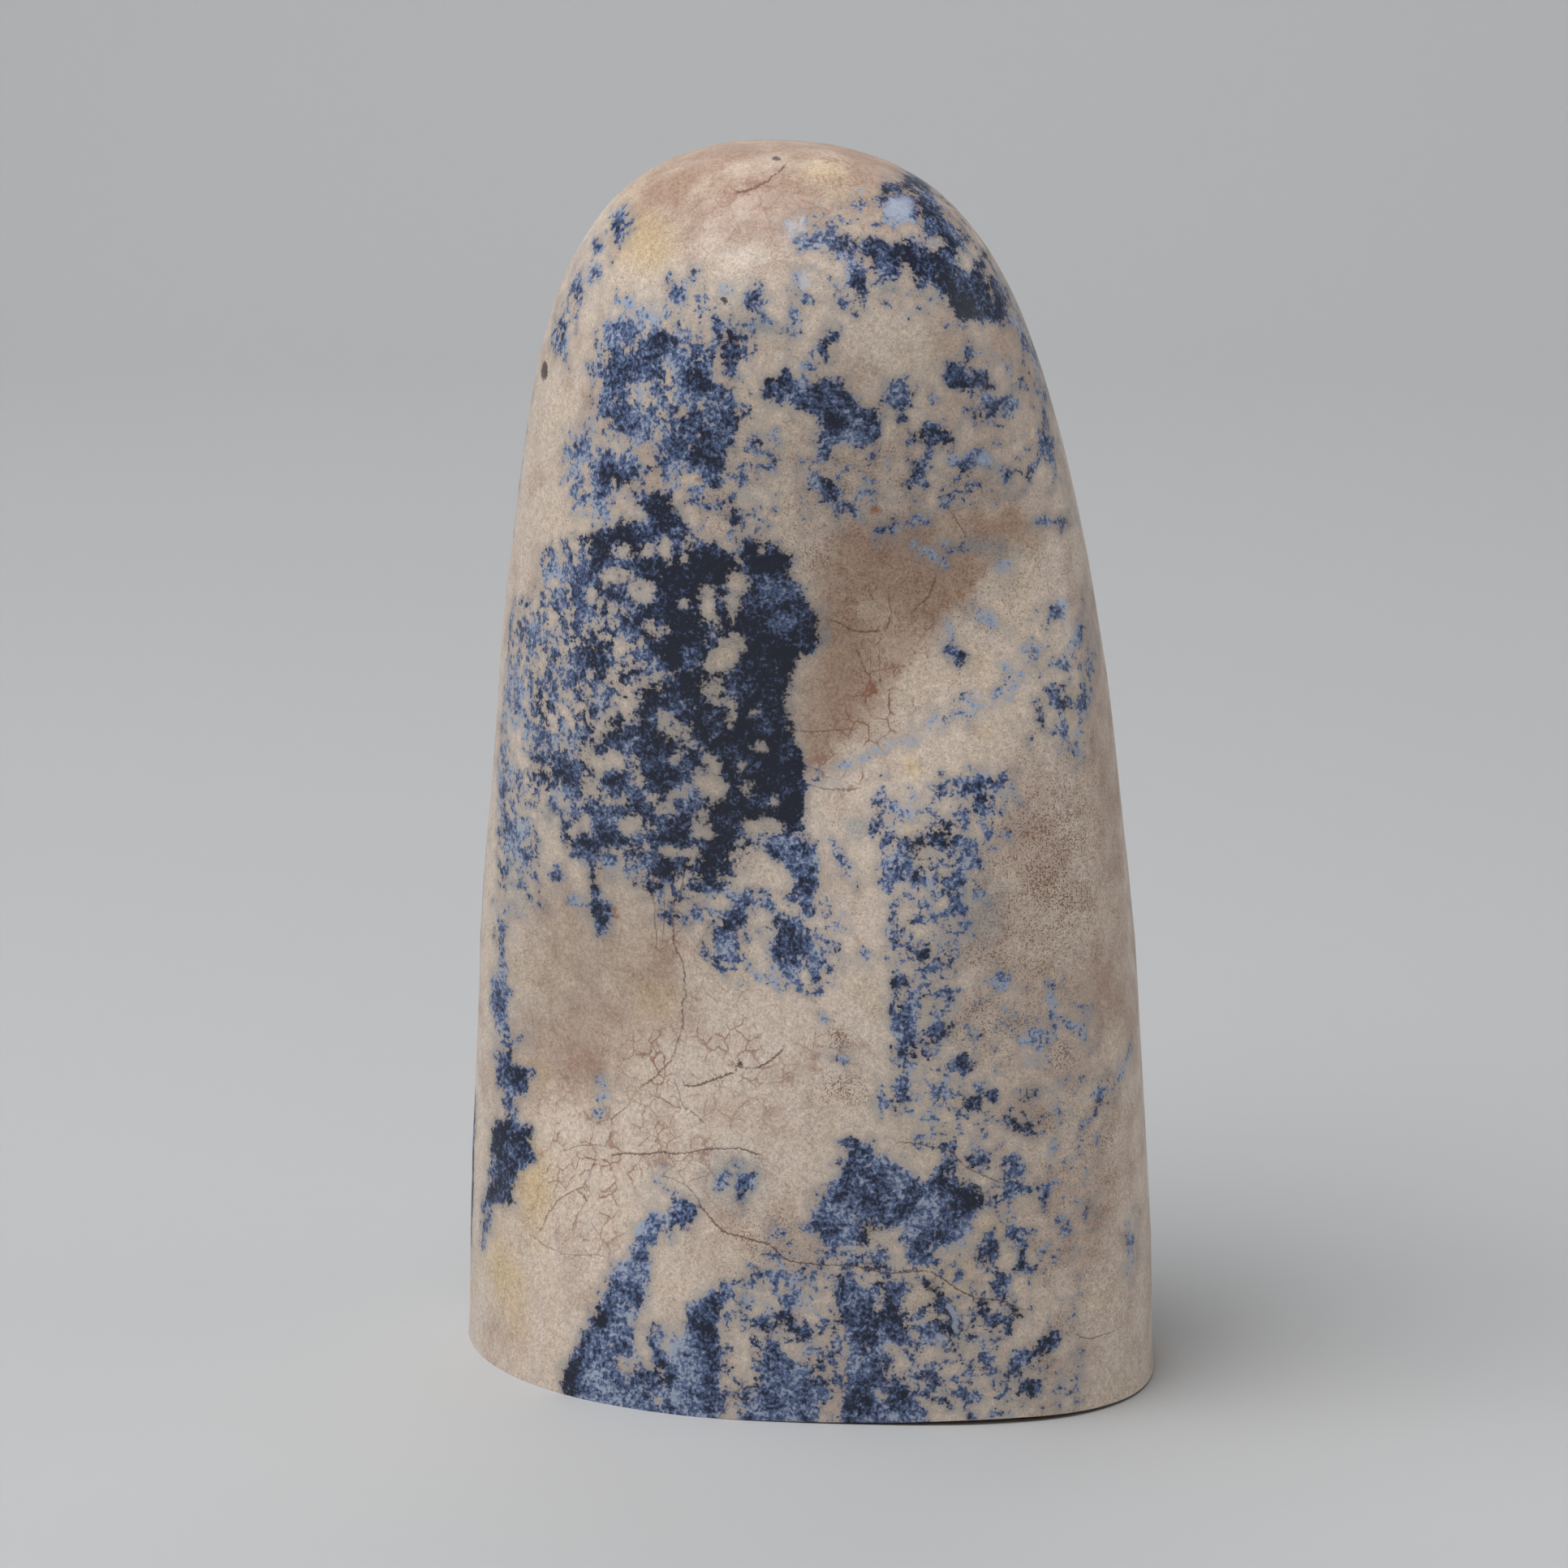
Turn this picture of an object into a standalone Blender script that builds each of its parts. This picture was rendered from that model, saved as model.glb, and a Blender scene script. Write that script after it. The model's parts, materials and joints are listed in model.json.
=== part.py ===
"""A polished sodalite freeform: one stone, sawn flat underneath and ground to a rounded top.

Metres, +Z up. The origin is the middle of the flat base, and the broad front faces -Y. A long
valley crosses the front from the upper right to the lower left, between an upper lobe that
overhangs it and the sloping shoulder of a lower lobe. The back has two shallow ground hollows.
"""

import math

import bmesh
import bpy
from mathutils import Vector, noise

MM = 0.001

# Overall size of the stone, before the hollows are ground into it.
HEIGHT = 116.3 * MM
HALF_WIDTH = 33.4 * MM
HALF_DEPTH = 24.2 * MM

# Its upright profile is 1 = rise**RISE_POWER + closing**(1 / CLOSING), a tall rounded arch whose
# closing power grows a little towards the top.
RISE_POWER = 1.38
CLOSING = 0.235
CLOSING_GAIN = 0.085
CLOSING_GAIN_POWER = 20.0
PROFILE_SAMPLES = 400
# From front to back the arch is fuller: its closing is raised to this power.
DEEP_CLOSING = 0.74

# The top leans to the left and forwards.
TOP_SHIFT_X = -3.0 * MM
TOP_SHIFT_Y = -2.6 * MM
LEAN_POWER = 2.2

# The outline seen from above: its squareness at the base and the top, how much squarer the
# right end is than the left, and how far the right side is swung forwards.
OUTLINE_POWER_BASE = 2.45
OUTLINE_POWER_TOP = 2.1
OUTLINE_SKEW = 0.4
SWING = 0.11

# The cage: strips across the front and the ends, rows up the sides, and the share of the
# profile that those rows cover. The rest is the top.
STRIPS_ACROSS = 14
STRIPS_DEEP = 8
ROWS = 20
SIDE_SHARE = 0.86
SMOOTHING = 1
# A point of the 2-unit block is on a face of it when it is further out than this.
EDGE = 0.999
# The first row above the base rim stands this high, which keeps the foot upright.
RIM_ROW = 1.2 * MM
# The sawn base is worn up at the front right of its rim.
RIM_LIFT = 0.5 * MM
RIM_LIFT_X = 18.0 * MM
RIM_LIFT_REACH = 14.0 * MM

# The crease of the front valley from the upper right to the lower left, as (x, z, depth, and
# how far its shoulder side reaches).
VALLEY = (
    (29.0 * MM, 86.5 * MM, 0.0 * MM, 5.0 * MM),
    (20.5 * MM, 81.5 * MM, 3.6 * MM, 5.5 * MM),
    (11.0 * MM, 73.0 * MM, 5.8 * MM, 7.0 * MM),
    (-1.5 * MM, 57.8 * MM, 5.4 * MM, 9.0 * MM),
    (-9.5 * MM, 43.0 * MM, 5.6 * MM, 12.0 * MM),
    (-19.5 * MM, 32.5 * MM, 6.2 * MM, 13.0 * MM),
    (-26.0 * MM, 23.0 * MM, 4.6 * MM, 12.0 * MM),
    (-34.0 * MM, 5.0 * MM, 0.5 * MM, 9.0 * MM),
)
VALLEY_STEPS = 6
VALLEY_REACH_OVERHANG = 13.0 * MM
# The valley's bottom is rounded at this radius, and its sides flatten out with this power.
VALLEY_ROUNDING = 2.4 * MM
VALLEY_POWER = 1.4

# Swellings and hollows, as (x, z, reach across, reach up, outward height).
FRONT_FORMS = (
    (3.0 * MM, 101.0 * MM, 17.0 * MM, 9.0 * MM, 1.6 * MM),
    (-12.0 * MM, 70.0 * MM, 11.0 * MM, 14.0 * MM, 1.0 * MM),
    (8.0 * MM, 45.0 * MM, 7.5 * MM, 17.0 * MM, 2.0 * MM),
    (-25.0 * MM, 31.0 * MM, 5.0 * MM, 8.0 * MM, -1.2 * MM),
    (25.0 * MM, 60.0 * MM, 7.0 * MM, 12.0 * MM, -0.7 * MM),
)
BACK_FORMS = (
    (7.0 * MM, 74.0 * MM, 17.0 * MM, 22.0 * MM, -2.6 * MM),
    (-14.0 * MM, 36.0 * MM, 13.0 * MM, 20.0 * MM, -2.0 * MM),
    (15.0 * MM, 26.0 * MM, 14.0 * MM, 16.0 * MM, 1.0 * MM),
)
# The forms fade out at the ends of the stone and at its foot.
FACE_FADE = 0.75
FOOT_FADE = 7.0 * MM

# Slow unevenness left by hand grinding.
GRIND_HEIGHT = 0.35 * MM
GRIND_LENGTH = 17.0 * MM

STONE_COLOUR = (0.36, 0.29, 0.25, 1.0)
STONE_ROUGHNESS = 0.38


def clear_scene():
    for thing in list(bpy.data.objects):
        bpy.data.objects.remove(thing, do_unlink=True)


def new_collection(name):
    collection = bpy.data.collections.new(name)
    bpy.context.scene.collection.children.link(collection)
    return collection


def smoothstep(low, high, value):
    share = min(1.0, max(0.0, (value - low) / (high - low)))
    return share * share * (3.0 - 2.0 * share)


def stone_material():
    material = bpy.data.materials.new("polished_sodalite")
    material.use_nodes = True
    surface = material.node_tree.nodes["Principled BSDF"]
    surface.inputs["Base Color"].default_value = STONE_COLOUR
    surface.inputs["Roughness"].default_value = STONE_ROUGHNESS
    surface.inputs["Metallic"].default_value = 0.0
    return material


def gridded_block():
    """A cube primitive, 2 units across, cut into strips and rows."""
    block = bmesh.new()
    bmesh.ops.create_cube(block, size=2.0)
    for axis, pieces in ((2, ROWS), (0, STRIPS_ACROSS), (1, STRIPS_DEEP)):
        along = [
            edge
            for edge in block.edges
            if abs(edge.verts[0].co[axis] - edge.verts[1].co[axis]) > 1.0
        ]
        bmesh.ops.subdivide_edges(block, edges=along, cuts=pieces - 1, use_grid_fill=True)
    return block


def upright_profile():
    """The arch as (share of its length, height, closing), from the base rim to the apex."""
    points = []
    length = 0.0
    for sample in range(PROFILE_SAMPLES + 1):
        turn = sample / PROFILE_SAMPLES * math.pi / 2
        rise = math.sin(turn) ** (2 / RISE_POWER)
        power = CLOSING + CLOSING_GAIN * rise**CLOSING_GAIN_POWER
        closing = max(0.0, 1.0 - rise**RISE_POWER) ** power
        point = Vector((closing * HALF_WIDTH, rise * HEIGHT))
        if points:
            length += (point - points[-1][1]).length
        points.append((length, point))
    return [(run / length, point.y, point.x / HALF_WIDTH) for run, point in points]


def climb(profile, share):
    """Height and closing at a share of the way up the profile."""
    for (run0, height0, closing0), (run1, height1, closing1) in zip(profile, profile[1:]):
        if share <= run1:
            step = (share - run0) / (run1 - run0)
            return height0 + (height1 - height0) * step, closing0 + (closing1 - closing0) * step
    return profile[-1][1], 0.0


def column_point(profile, block_point):
    """Where a point of the block goes on the plain column, with no valley or hollows yet."""
    u, v, w = block_point
    ring = max(abs(u), abs(v))
    under = w < -EDGE
    row = round((w + 1.0) / 2.0 * ROWS)
    if under:
        height, closing = 0.0, ring
    elif w > EDGE:
        height, closing = climb(profile, SIDE_SHARE + (1.0 - SIDE_SHARE) * (1.0 - ring))
    else:
        height, closing = climb(profile, row / ROWS * SIDE_SHARE)
        height = RIM_ROW if row == 1 else height
    angle = math.atan2(v, u)
    across, away = math.cos(angle), math.sin(angle)
    rise = height / HEIGHT
    power = OUTLINE_POWER_BASE + (OUTLINE_POWER_TOP - OUTLINE_POWER_BASE) * rise
    power += OUTLINE_SKEW * across
    size = (abs(across) ** power + abs(away) ** power) ** (-1 / power)
    x = HALF_WIDTH * size * closing * across
    y = HALF_DEPTH * size * (closing if under else closing**DEEP_CLOSING) * away - SWING * x
    lean = rise**LEAN_POWER
    return Vector((x + TOP_SHIFT_X * lean, y + TOP_SHIFT_Y * lean, height))


def curve_value(t, a, b, c, d):
    """A smooth step from b, at t = 0, to c, at t = 1, on a curve that also passes a and d."""
    bend = 2 * a - 5 * b + 4 * c - d
    twist = 3 * (b - c) + d - a
    return b + t / 2 * (c - a + t * (bend + t * twist))


def smooth_run(points, steps):
    """The points of a smooth curve through the given ones, each a row of numbers."""
    rows = [points[0], *points, points[-1]]
    run = []
    for a, b, c, d in zip(rows, rows[1:], rows[2:], rows[3:]):
        for step in range(steps):
            run.append([curve_value(step / steps, *values) for values in zip(a, b, c, d)])
    run.append(list(points[-1]))
    return run


def valley_depth(crease, x, z):
    """How deep the front valley is at a place seen from the front."""
    nearest, depth, reach = 1.0, 0.0, VALLEY_REACH_OVERHANG
    place = Vector((x, z))
    for (x0, z0, depth0, reach0), (x1, z1, depth1, reach1) in zip(crease, crease[1:]):
        start, run = Vector((x0, z0)), Vector((x1 - x0, z1 - z0))
        share = min(1.0, max(0.0, (place - start).dot(run) / run.length_squared))
        gap = place - (start + run * share)
        if gap.length < nearest:
            nearest = gap.length
            depth = depth0 + (depth1 - depth0) * share
            above = gap.x * run.y - gap.y * run.x > 0.0
            reach = VALLEY_REACH_OVERHANG if above else reach0 + (reach1 - reach0) * share
    away = math.hypot(nearest, VALLEY_ROUNDING) - VALLEY_ROUNDING
    return max(0.0, depth) * math.exp(-((away / reach) ** VALLEY_POWER))


def forms_height(forms, x, z):
    total = 0.0
    for x0, z0, across, up, height in forms:
        total += height * math.exp(-(((x - x0) / across) ** 2) - ((z - z0) / up) ** 2)
    return total


def ground_point(crease, point):
    """Adds the valley, the swellings, the hollows and the grinding to a point of the column."""
    x, y, z = point
    middle = TOP_SHIFT_Y * (z / HEIGHT) ** LEAN_POWER - SWING * x
    front = smoothstep(0.0, FACE_FADE, (middle - y) / HALF_DEPTH)
    back = smoothstep(0.0, FACE_FADE, (y - middle) / HALF_DEPTH)
    foot = smoothstep(0.0, FOOT_FADE, z)
    push = (valley_depth(crease, x, z) - forms_height(FRONT_FORMS, x, z)) * front
    push += forms_height(BACK_FORMS, x, z) * back
    outward = Vector((x, y, 0.0)).normalized()
    grind = GRIND_HEIGHT * noise.noise(Vector((x, y, z)) / GRIND_LENGTH)
    return Vector((x, y + push * foot, z)) + outward * grind


def build_stone(collection):
    """The stone: a gridded block drawn out into the column, ground, then smoothed."""
    block = gridded_block()
    profile = upright_profile()
    crease = smooth_run(VALLEY, VALLEY_STEPS)
    sharp = block.edges.layers.float.new("crease_edge")
    for edge in block.edges:
        if all(v.co.z < -EDGE and max(abs(v.co.x), abs(v.co.y)) > EDGE for v in edge.verts):
            edge[sharp] = 1.0
    for vertex in block.verts:
        under = vertex.co.z < -EDGE
        rim = max(abs(vertex.co.x), abs(vertex.co.y)) > EDGE
        vertex.co = ground_point(crease, column_point(profile, vertex.co))
        if under:
            worn = math.exp(-(((vertex.co.x - RIM_LIFT_X) / RIM_LIFT_REACH) ** 2))
            vertex.co.z = RIM_LIFT * worn if rim and vertex.co.y < 0.0 else 0.0
    low = Vector([min(v.co[axis] for v in block.verts) for axis in range(3)])
    high = Vector([max(v.co[axis] for v in block.verts) for axis in range(3)])
    middle = (low + high) / 2
    bmesh.ops.translate(block, verts=block.verts, vec=(-middle.x, -middle.y, 0.0))

    mesh = bpy.data.meshes.new("stone")
    block.to_mesh(mesh)
    block.free()
    mesh.shade_smooth()
    mesh.materials.append(stone_material())
    stone = bpy.data.objects.new("stone", mesh)
    collection.objects.link(stone)

    polish = stone.modifiers.new("polish", "SUBSURF")
    polish.levels = SMOOTHING
    polish.render_levels = SMOOTHING
    return stone


def main():
    clear_scene()
    build_stone(new_collection("sodalite_freeform"))


main()
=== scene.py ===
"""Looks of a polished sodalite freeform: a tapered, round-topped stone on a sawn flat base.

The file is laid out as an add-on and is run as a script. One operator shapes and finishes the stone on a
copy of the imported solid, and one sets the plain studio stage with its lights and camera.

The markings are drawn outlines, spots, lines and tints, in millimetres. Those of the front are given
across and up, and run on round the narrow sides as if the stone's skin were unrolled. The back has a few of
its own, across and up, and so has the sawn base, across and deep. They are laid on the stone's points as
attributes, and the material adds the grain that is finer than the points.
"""
import json
import math

import bmesh
import bpy
import numpy as np
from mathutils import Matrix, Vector, noise

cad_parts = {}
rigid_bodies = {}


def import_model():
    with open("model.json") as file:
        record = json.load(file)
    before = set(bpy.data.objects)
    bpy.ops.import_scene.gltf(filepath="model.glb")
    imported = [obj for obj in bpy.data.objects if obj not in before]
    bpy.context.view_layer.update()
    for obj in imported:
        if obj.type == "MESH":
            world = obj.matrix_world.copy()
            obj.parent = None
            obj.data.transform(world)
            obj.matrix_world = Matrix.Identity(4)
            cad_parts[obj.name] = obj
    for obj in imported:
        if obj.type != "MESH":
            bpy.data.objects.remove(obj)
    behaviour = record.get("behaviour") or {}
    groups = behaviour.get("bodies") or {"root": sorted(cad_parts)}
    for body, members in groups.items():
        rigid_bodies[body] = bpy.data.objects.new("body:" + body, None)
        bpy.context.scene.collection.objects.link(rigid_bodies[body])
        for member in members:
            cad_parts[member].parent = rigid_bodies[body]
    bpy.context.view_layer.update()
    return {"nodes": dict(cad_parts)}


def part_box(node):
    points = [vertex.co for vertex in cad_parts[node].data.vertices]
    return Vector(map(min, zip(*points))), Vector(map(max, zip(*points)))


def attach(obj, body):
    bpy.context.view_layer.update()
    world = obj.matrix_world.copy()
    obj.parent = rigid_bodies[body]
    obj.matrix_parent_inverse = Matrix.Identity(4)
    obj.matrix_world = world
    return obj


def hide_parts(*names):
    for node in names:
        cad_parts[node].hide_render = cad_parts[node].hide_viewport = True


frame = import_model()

bl_info = {
    "name": "Sodalite Freeform",
    "version": (1, 0, 0),
    "blender": (4, 5, 0),
    "location": "3D View > Sidebar > Freeform",
    "description": "Shapes and finishes a polished sodalite freeform and sets its studio stage",
    "category": "Object",
}

MM = 0.001
STONE_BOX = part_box("stone")
STONE_HEIGHT = STONE_BOX[1].z - STONE_BOX[0].z
PIECE = "polished_stone"
NODE = "stone"
# Blender's vector noise starts from the clock unless it is given a seed
NOISE_SEED = 7

# A face whose normal's height is below this is part of the sawn base
FACES_DOWN = -0.9
RIM_SEGMENTS = 2

# The stage: places and sizes in metres, and the camera's sensor in millimetres
SWEEP_SEGMENTS = 24
SENSOR_WIDTH = 36
TOP_LIGHT_PLACE = (-0.33, -0.22, 0.8)
RIGHT_FILL_PLACE = (0.7, -0.1, 0.25)
RIGHT_FILL_SIZE = 0.4
WALL_LIGHT_PLACE = (0, 0.8, 0.9)
WALL_LIGHT_AIM = (0, 1.15, 0.1)
WALL_LIGHT_SIZE = 0.8

# How the drawn shapes waver: size of the waves and their reach in millimetres, and a start in the noise
WANDER = (2.2, 0.28, 11)
BROAD_WANDER = (9, 3, 31)
MIDDLE_WANDER = (3.5, 1.4, 57)
# The skin is unrolled from this far in front of the middle, in millimetres
UNROLL_DEPTH = 2
# Unrolled this far, in millimetres, it starts to waver more, and wavers fully
SIDE_WANDER = (2, 9)
# Keeps a division from zero where a normal points straight forwards
FLAT_GUARD = 0.05
# How far a normal turns back, or down, before the markings of the back or base begin, and are full
BACK_TURN = (0.3, 0.6)
BASE_TURN = (0.5, 0.8)
# Least brown and craze on the back, which has none of its own
BACK_BROWN = 0.3
BACK_CRAZE = 0.5

# Loose fields of blue flecks on the front: how thick they lie, depth of colour, how solid, and the outline
FIELDS = (
    (0.05, 0.4, 0.3, (
        (-19, 101), (-16, 103), (-9, 104), (-4.6, 101), (-5, 96), (-4.4, 90), (-3, 84), (-6, 80), (-20, 80),
        (-20.4, 86), (-19.4, 93), (-19.4, 98))),
    (0.3, 0.7, 0.3, (
        (-24.5, 79), (-20, 82), (-10, 80), (-4, 80), (-4, 54), (-8, 48), (-13, 47.5), (-22, 51),
        (-25.4, 58), (-24, 66), (-25, 72))),
    (0.2, 0.5, 0.3, (
        (-27.5, 74), (-24.6, 74), (-24.6, 60), (-25.5, 47), (-29, 46), (-29.6, 56), (-29, 66))),
    (0.1, 0.5, 0.3, (
        (6.5, 60.4), (10, 59), (19, 61), (17.6, 57), (15, 50), (13.6, 43), (12.5, 36), (10.5, 30), (7, 30),
        (7.4, 40), (7.2, 48), (5.6, 56))),
    (-0.4, 0.45, 0.3, (
        (13, 42), (21, 41), (26, 39), (27, 28), (25, 20), (24.6, 8), (22, 2), (18, -1), (12, 0), (15, 16),
        (14, 26), (10, 28), (12, 36))),
    (0.0, 0.5, 0.3, ((-14, -1), (19, -1), (20, 10), (18, 15), (8, 16.4), (-4, 16), (-7, 13.4), (-12, 8))),
    (0.0, 0.5, 0.3, ((-9, 49), (2, 49), (3, 43), (1, 40), (-4, 40), (-9.4, 42))),
    (-0.2, 0.5, 0.3, (
        (-2, 110.4), (6, 113), (12, 112), (15, 108), (19, 101), (12, 101), (6, 104), (0, 106))),
    (-0.3, 0.45, 0.3, ((7, 97), (20, 98), (23, 86), (12, 85), (6, 86), (0, 83), (-1, 89), (4, 90))),
    (-0.6, 0.4, 0.3, ((21, 75), (25.4, 75), (26.4, 62), (21, 62), (18, 67))),
    # the two narrow sides, where they turn away from the front
    (0.0, 0.5, 0.3, ((33, 72), (38, 76), (47, 66), (49, 48), (42, 40), (36, 48))),
    (-0.1, 0.5, 0.3, ((36, 32), (42, 34), (50, 24), (48, 8), (38, 4), (36, 18))),
    (0.0, 0.5, 0.3, ((-32, 66), (-40, 68), (-48, 56), (-48, 38), (-40, 28), (-35, 40))),
    (-0.1, 0.4, 0.3, ((-27, 98), (-34, 96), (-40, 84), (-36, 74), (-29, 82))),
)
# Blue areas on the narrow sides and the rear of the top: depth of colour, how solid, and the outline
SIDE_AREAS = (
    (0.75, 0.8, ((37, 66), (41, 69), (44.5, 64), (43, 57), (45, 51), (41, 47), (38, 52), (39, 59))),
    (0.6, 0.8, ((39, 26), (43, 28), (45, 20), (42, 12), (39, 9), (38, 16), (40, 21))),
    (0.7, 0.85, ((-36, 58), (-40, 61), (-43, 54), (-41, 47), (-44, 40), (-40, 34), (-37, 41), (-38, 50))),
    (0.85, 0.9, ((-35, 24), (-38, 27), (-41, 20), (-39, 12), (-36, 7), (-35, 14))),
    (0.5, 0.7, ((-30, 92), (-34, 90), (-37, 83), (-34, 78), (-31, 84))),
    (0.6, 0.8, ((34, 96), (39, 98), (42, 90), (38, 85), (34, 89))),
    (0.6, 0.7, ((28.8, 92), (31, 94), (33.4, 90), (32, 86), (33, 82), (30.4, 80), (29.8, 85))),
    (0.7, 0.8, ((35, 48), (37, 51), (39.4, 47), (38, 43), (40, 39), (37, 35), (35.2, 39), (36, 43.6))),
    (0.5, 0.75, ((35.4, 17), (37.6, 20), (40, 15), (38.4, 9), (39, 3), (36, 1), (35.6, 8))),
    (0.5, 0.6, ((-10, 122), (-3, 125), (4, 123), (6, 119.5), (-2, 118.6), (-8, 119))),
)
# The back, across as seen from the front, and up
BACK_FIELDS = (
    (0.1, 0.45, 0.25, ((-14, 104), (-2, 107), (9, 101), (13, 92), (7, 84), (-4, 82), (-13, 86), (-19, 95))),
    (0.1, 0.6, 0.3, (
        (1, 80), (12, 82), (21, 75), (23, 61), (17, 48), (8, 42), (1, 48), (-3, 60), (-2, 71))),
    (0.0, 0.5, 0.3, ((-25, 42), (-16, 46), (-7, 38), (-5, 26), (-11, 14), (-21, 8), (-28, 20), (-27, 32))),
    (-0.2, 0.5, 0.3, ((-4, -2), (20, -2), (20, 10), (12, 20), (4, 16), (0, 8))),
    (-0.4, 0.4, 0.3, ((14, 34), (24, 38), (29, 28), (26, 14), (17, 14))),
    (-0.4, 0.4, 0.3, ((-24, 76), (-14, 78), (-10, 66), (-14, 54), (-24, 54), (-27, 64))),
    (-0.4, 0.45, 0.3, ((-12, 90), (4, 92), (15, 84), (9, 70), (-4, 68), (-13, 78))),
    (-0.2, 0.5, 0.3, ((1, 48), (16, 52), (24, 42), (16, 26), (4, 28), (-3, 38))),
)
BACK_AREAS = (
    (0.75, 0.75, (
        (-10, 98), (-7, 101), (-4, 100), (-2, 102), (1, 99.6), (3, 96), (1.6, 93.6), (3.4, 91), (-1, 89.6),
        (-3, 91.6), (-6, 90.4), (-8, 92.4), (-11, 92.6), (-12.6, 95.4))),
    (0.5, 0.7, ((5, 97), (8, 98), (10.4, 94), (9, 90), (6.4, 88.6), (5.4, 91.4), (6.6, 94))),
    (0.85, 0.85, (
        (5, 75), (9, 77.4), (12, 75.4), (15.6, 75), (17, 70), (14.6, 67), (13.4, 63.4), (15.6, 60),
        (13.6, 55.4), (10.6, 51), (7.4, 52.6), (5.4, 56), (7.4, 60), (5.8, 63), (7.4, 66.4), (3.6, 69))),
    (0.55, 0.75, ((15.6, 57), (18.4, 60), (20.4, 57.4), (18.6, 53), (16, 51.4))),
    (0.7, 0.8, (
        (-21, 36), (-18, 38.6), (-14.6, 38), (-12, 34), (-13.6, 30.4), (-11.4, 27), (-14.4, 23),
        (-17, 24.6), (-19.4, 20.4), (-22.4, 22), (-21.6, 27), (-23.4, 31))),
    (0.5, 0.85, (
        (4, -2), (17, -2), (15.6, 3), (16.4, 7), (13, 11.6), (10.4, 16), (8, 15), (7.6, 11.6), (4.6, 10),
        (6, 6), (3.4, 3))),
    (0.45, 0.7, ((19, 30), (22.4, 32), (25, 28), (23, 23), (25, 19), (21.4, 17.6), (20, 22))),
    (0.6, 0.75, ((-20, 70), (-17, 72), (-14.6, 69), (-16.4, 65), (-19, 64.4), (-21.6, 67))),
    (0.6, 0.7, ((-8, 82), (-5, 85), (-2, 83), (0, 80), (-2, 76), (-5, 77.4), (-7.6, 75.6), (-9, 79))),
    (0.7, 0.8, (
        (8, 43), (10, 46), (13, 44.6), (14.4, 40.6), (12, 37), (13, 33.4), (10, 31), (8, 34), (9, 38.6))),
    (0.45, 0.7, ((-9.6, 54), (-6, 55.4), (-4, 51), (-5.6, 47), (-8, 48), (-10.4, 50))),
    (0.75, 0.85, (
        (-10, 12), (-6, 14), (-3, 10), (-4.6, 6), (-2, 1), (-5, -2), (-10, -2), (-9, 4), (-11.4, 8))),
)
# The sawn base, across and deep
BASE_FIELDS = (
    (0.1, 0.5, 0.3, (
        (-24, -8), (-14, -16), (0, -22), (14, -18), (22, -8), (10, 2), (0, 12), (-10, 4), (-20, 6))),
    (-0.1, 0.5, 0.3, ((0, 12), (12, 6), (22, 10), (14, 20), (2, 24))),
)
BASE_AREAS = (
    (0.5, 0.85, ((-22, -9), (-15, -15), (-9, -12), (-10, -5), (-15, -1), (-20, -3))),
    (0.6, 0.85, ((-3, -21), (6, -22), (9, -15), (5, -8), (1, -10), (-3, -14))),
    (0.8, 0.9, ((6, 10), (12, 12), (16, 18), (9, 22), (3, 20), (4, 14))),
)

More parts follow.
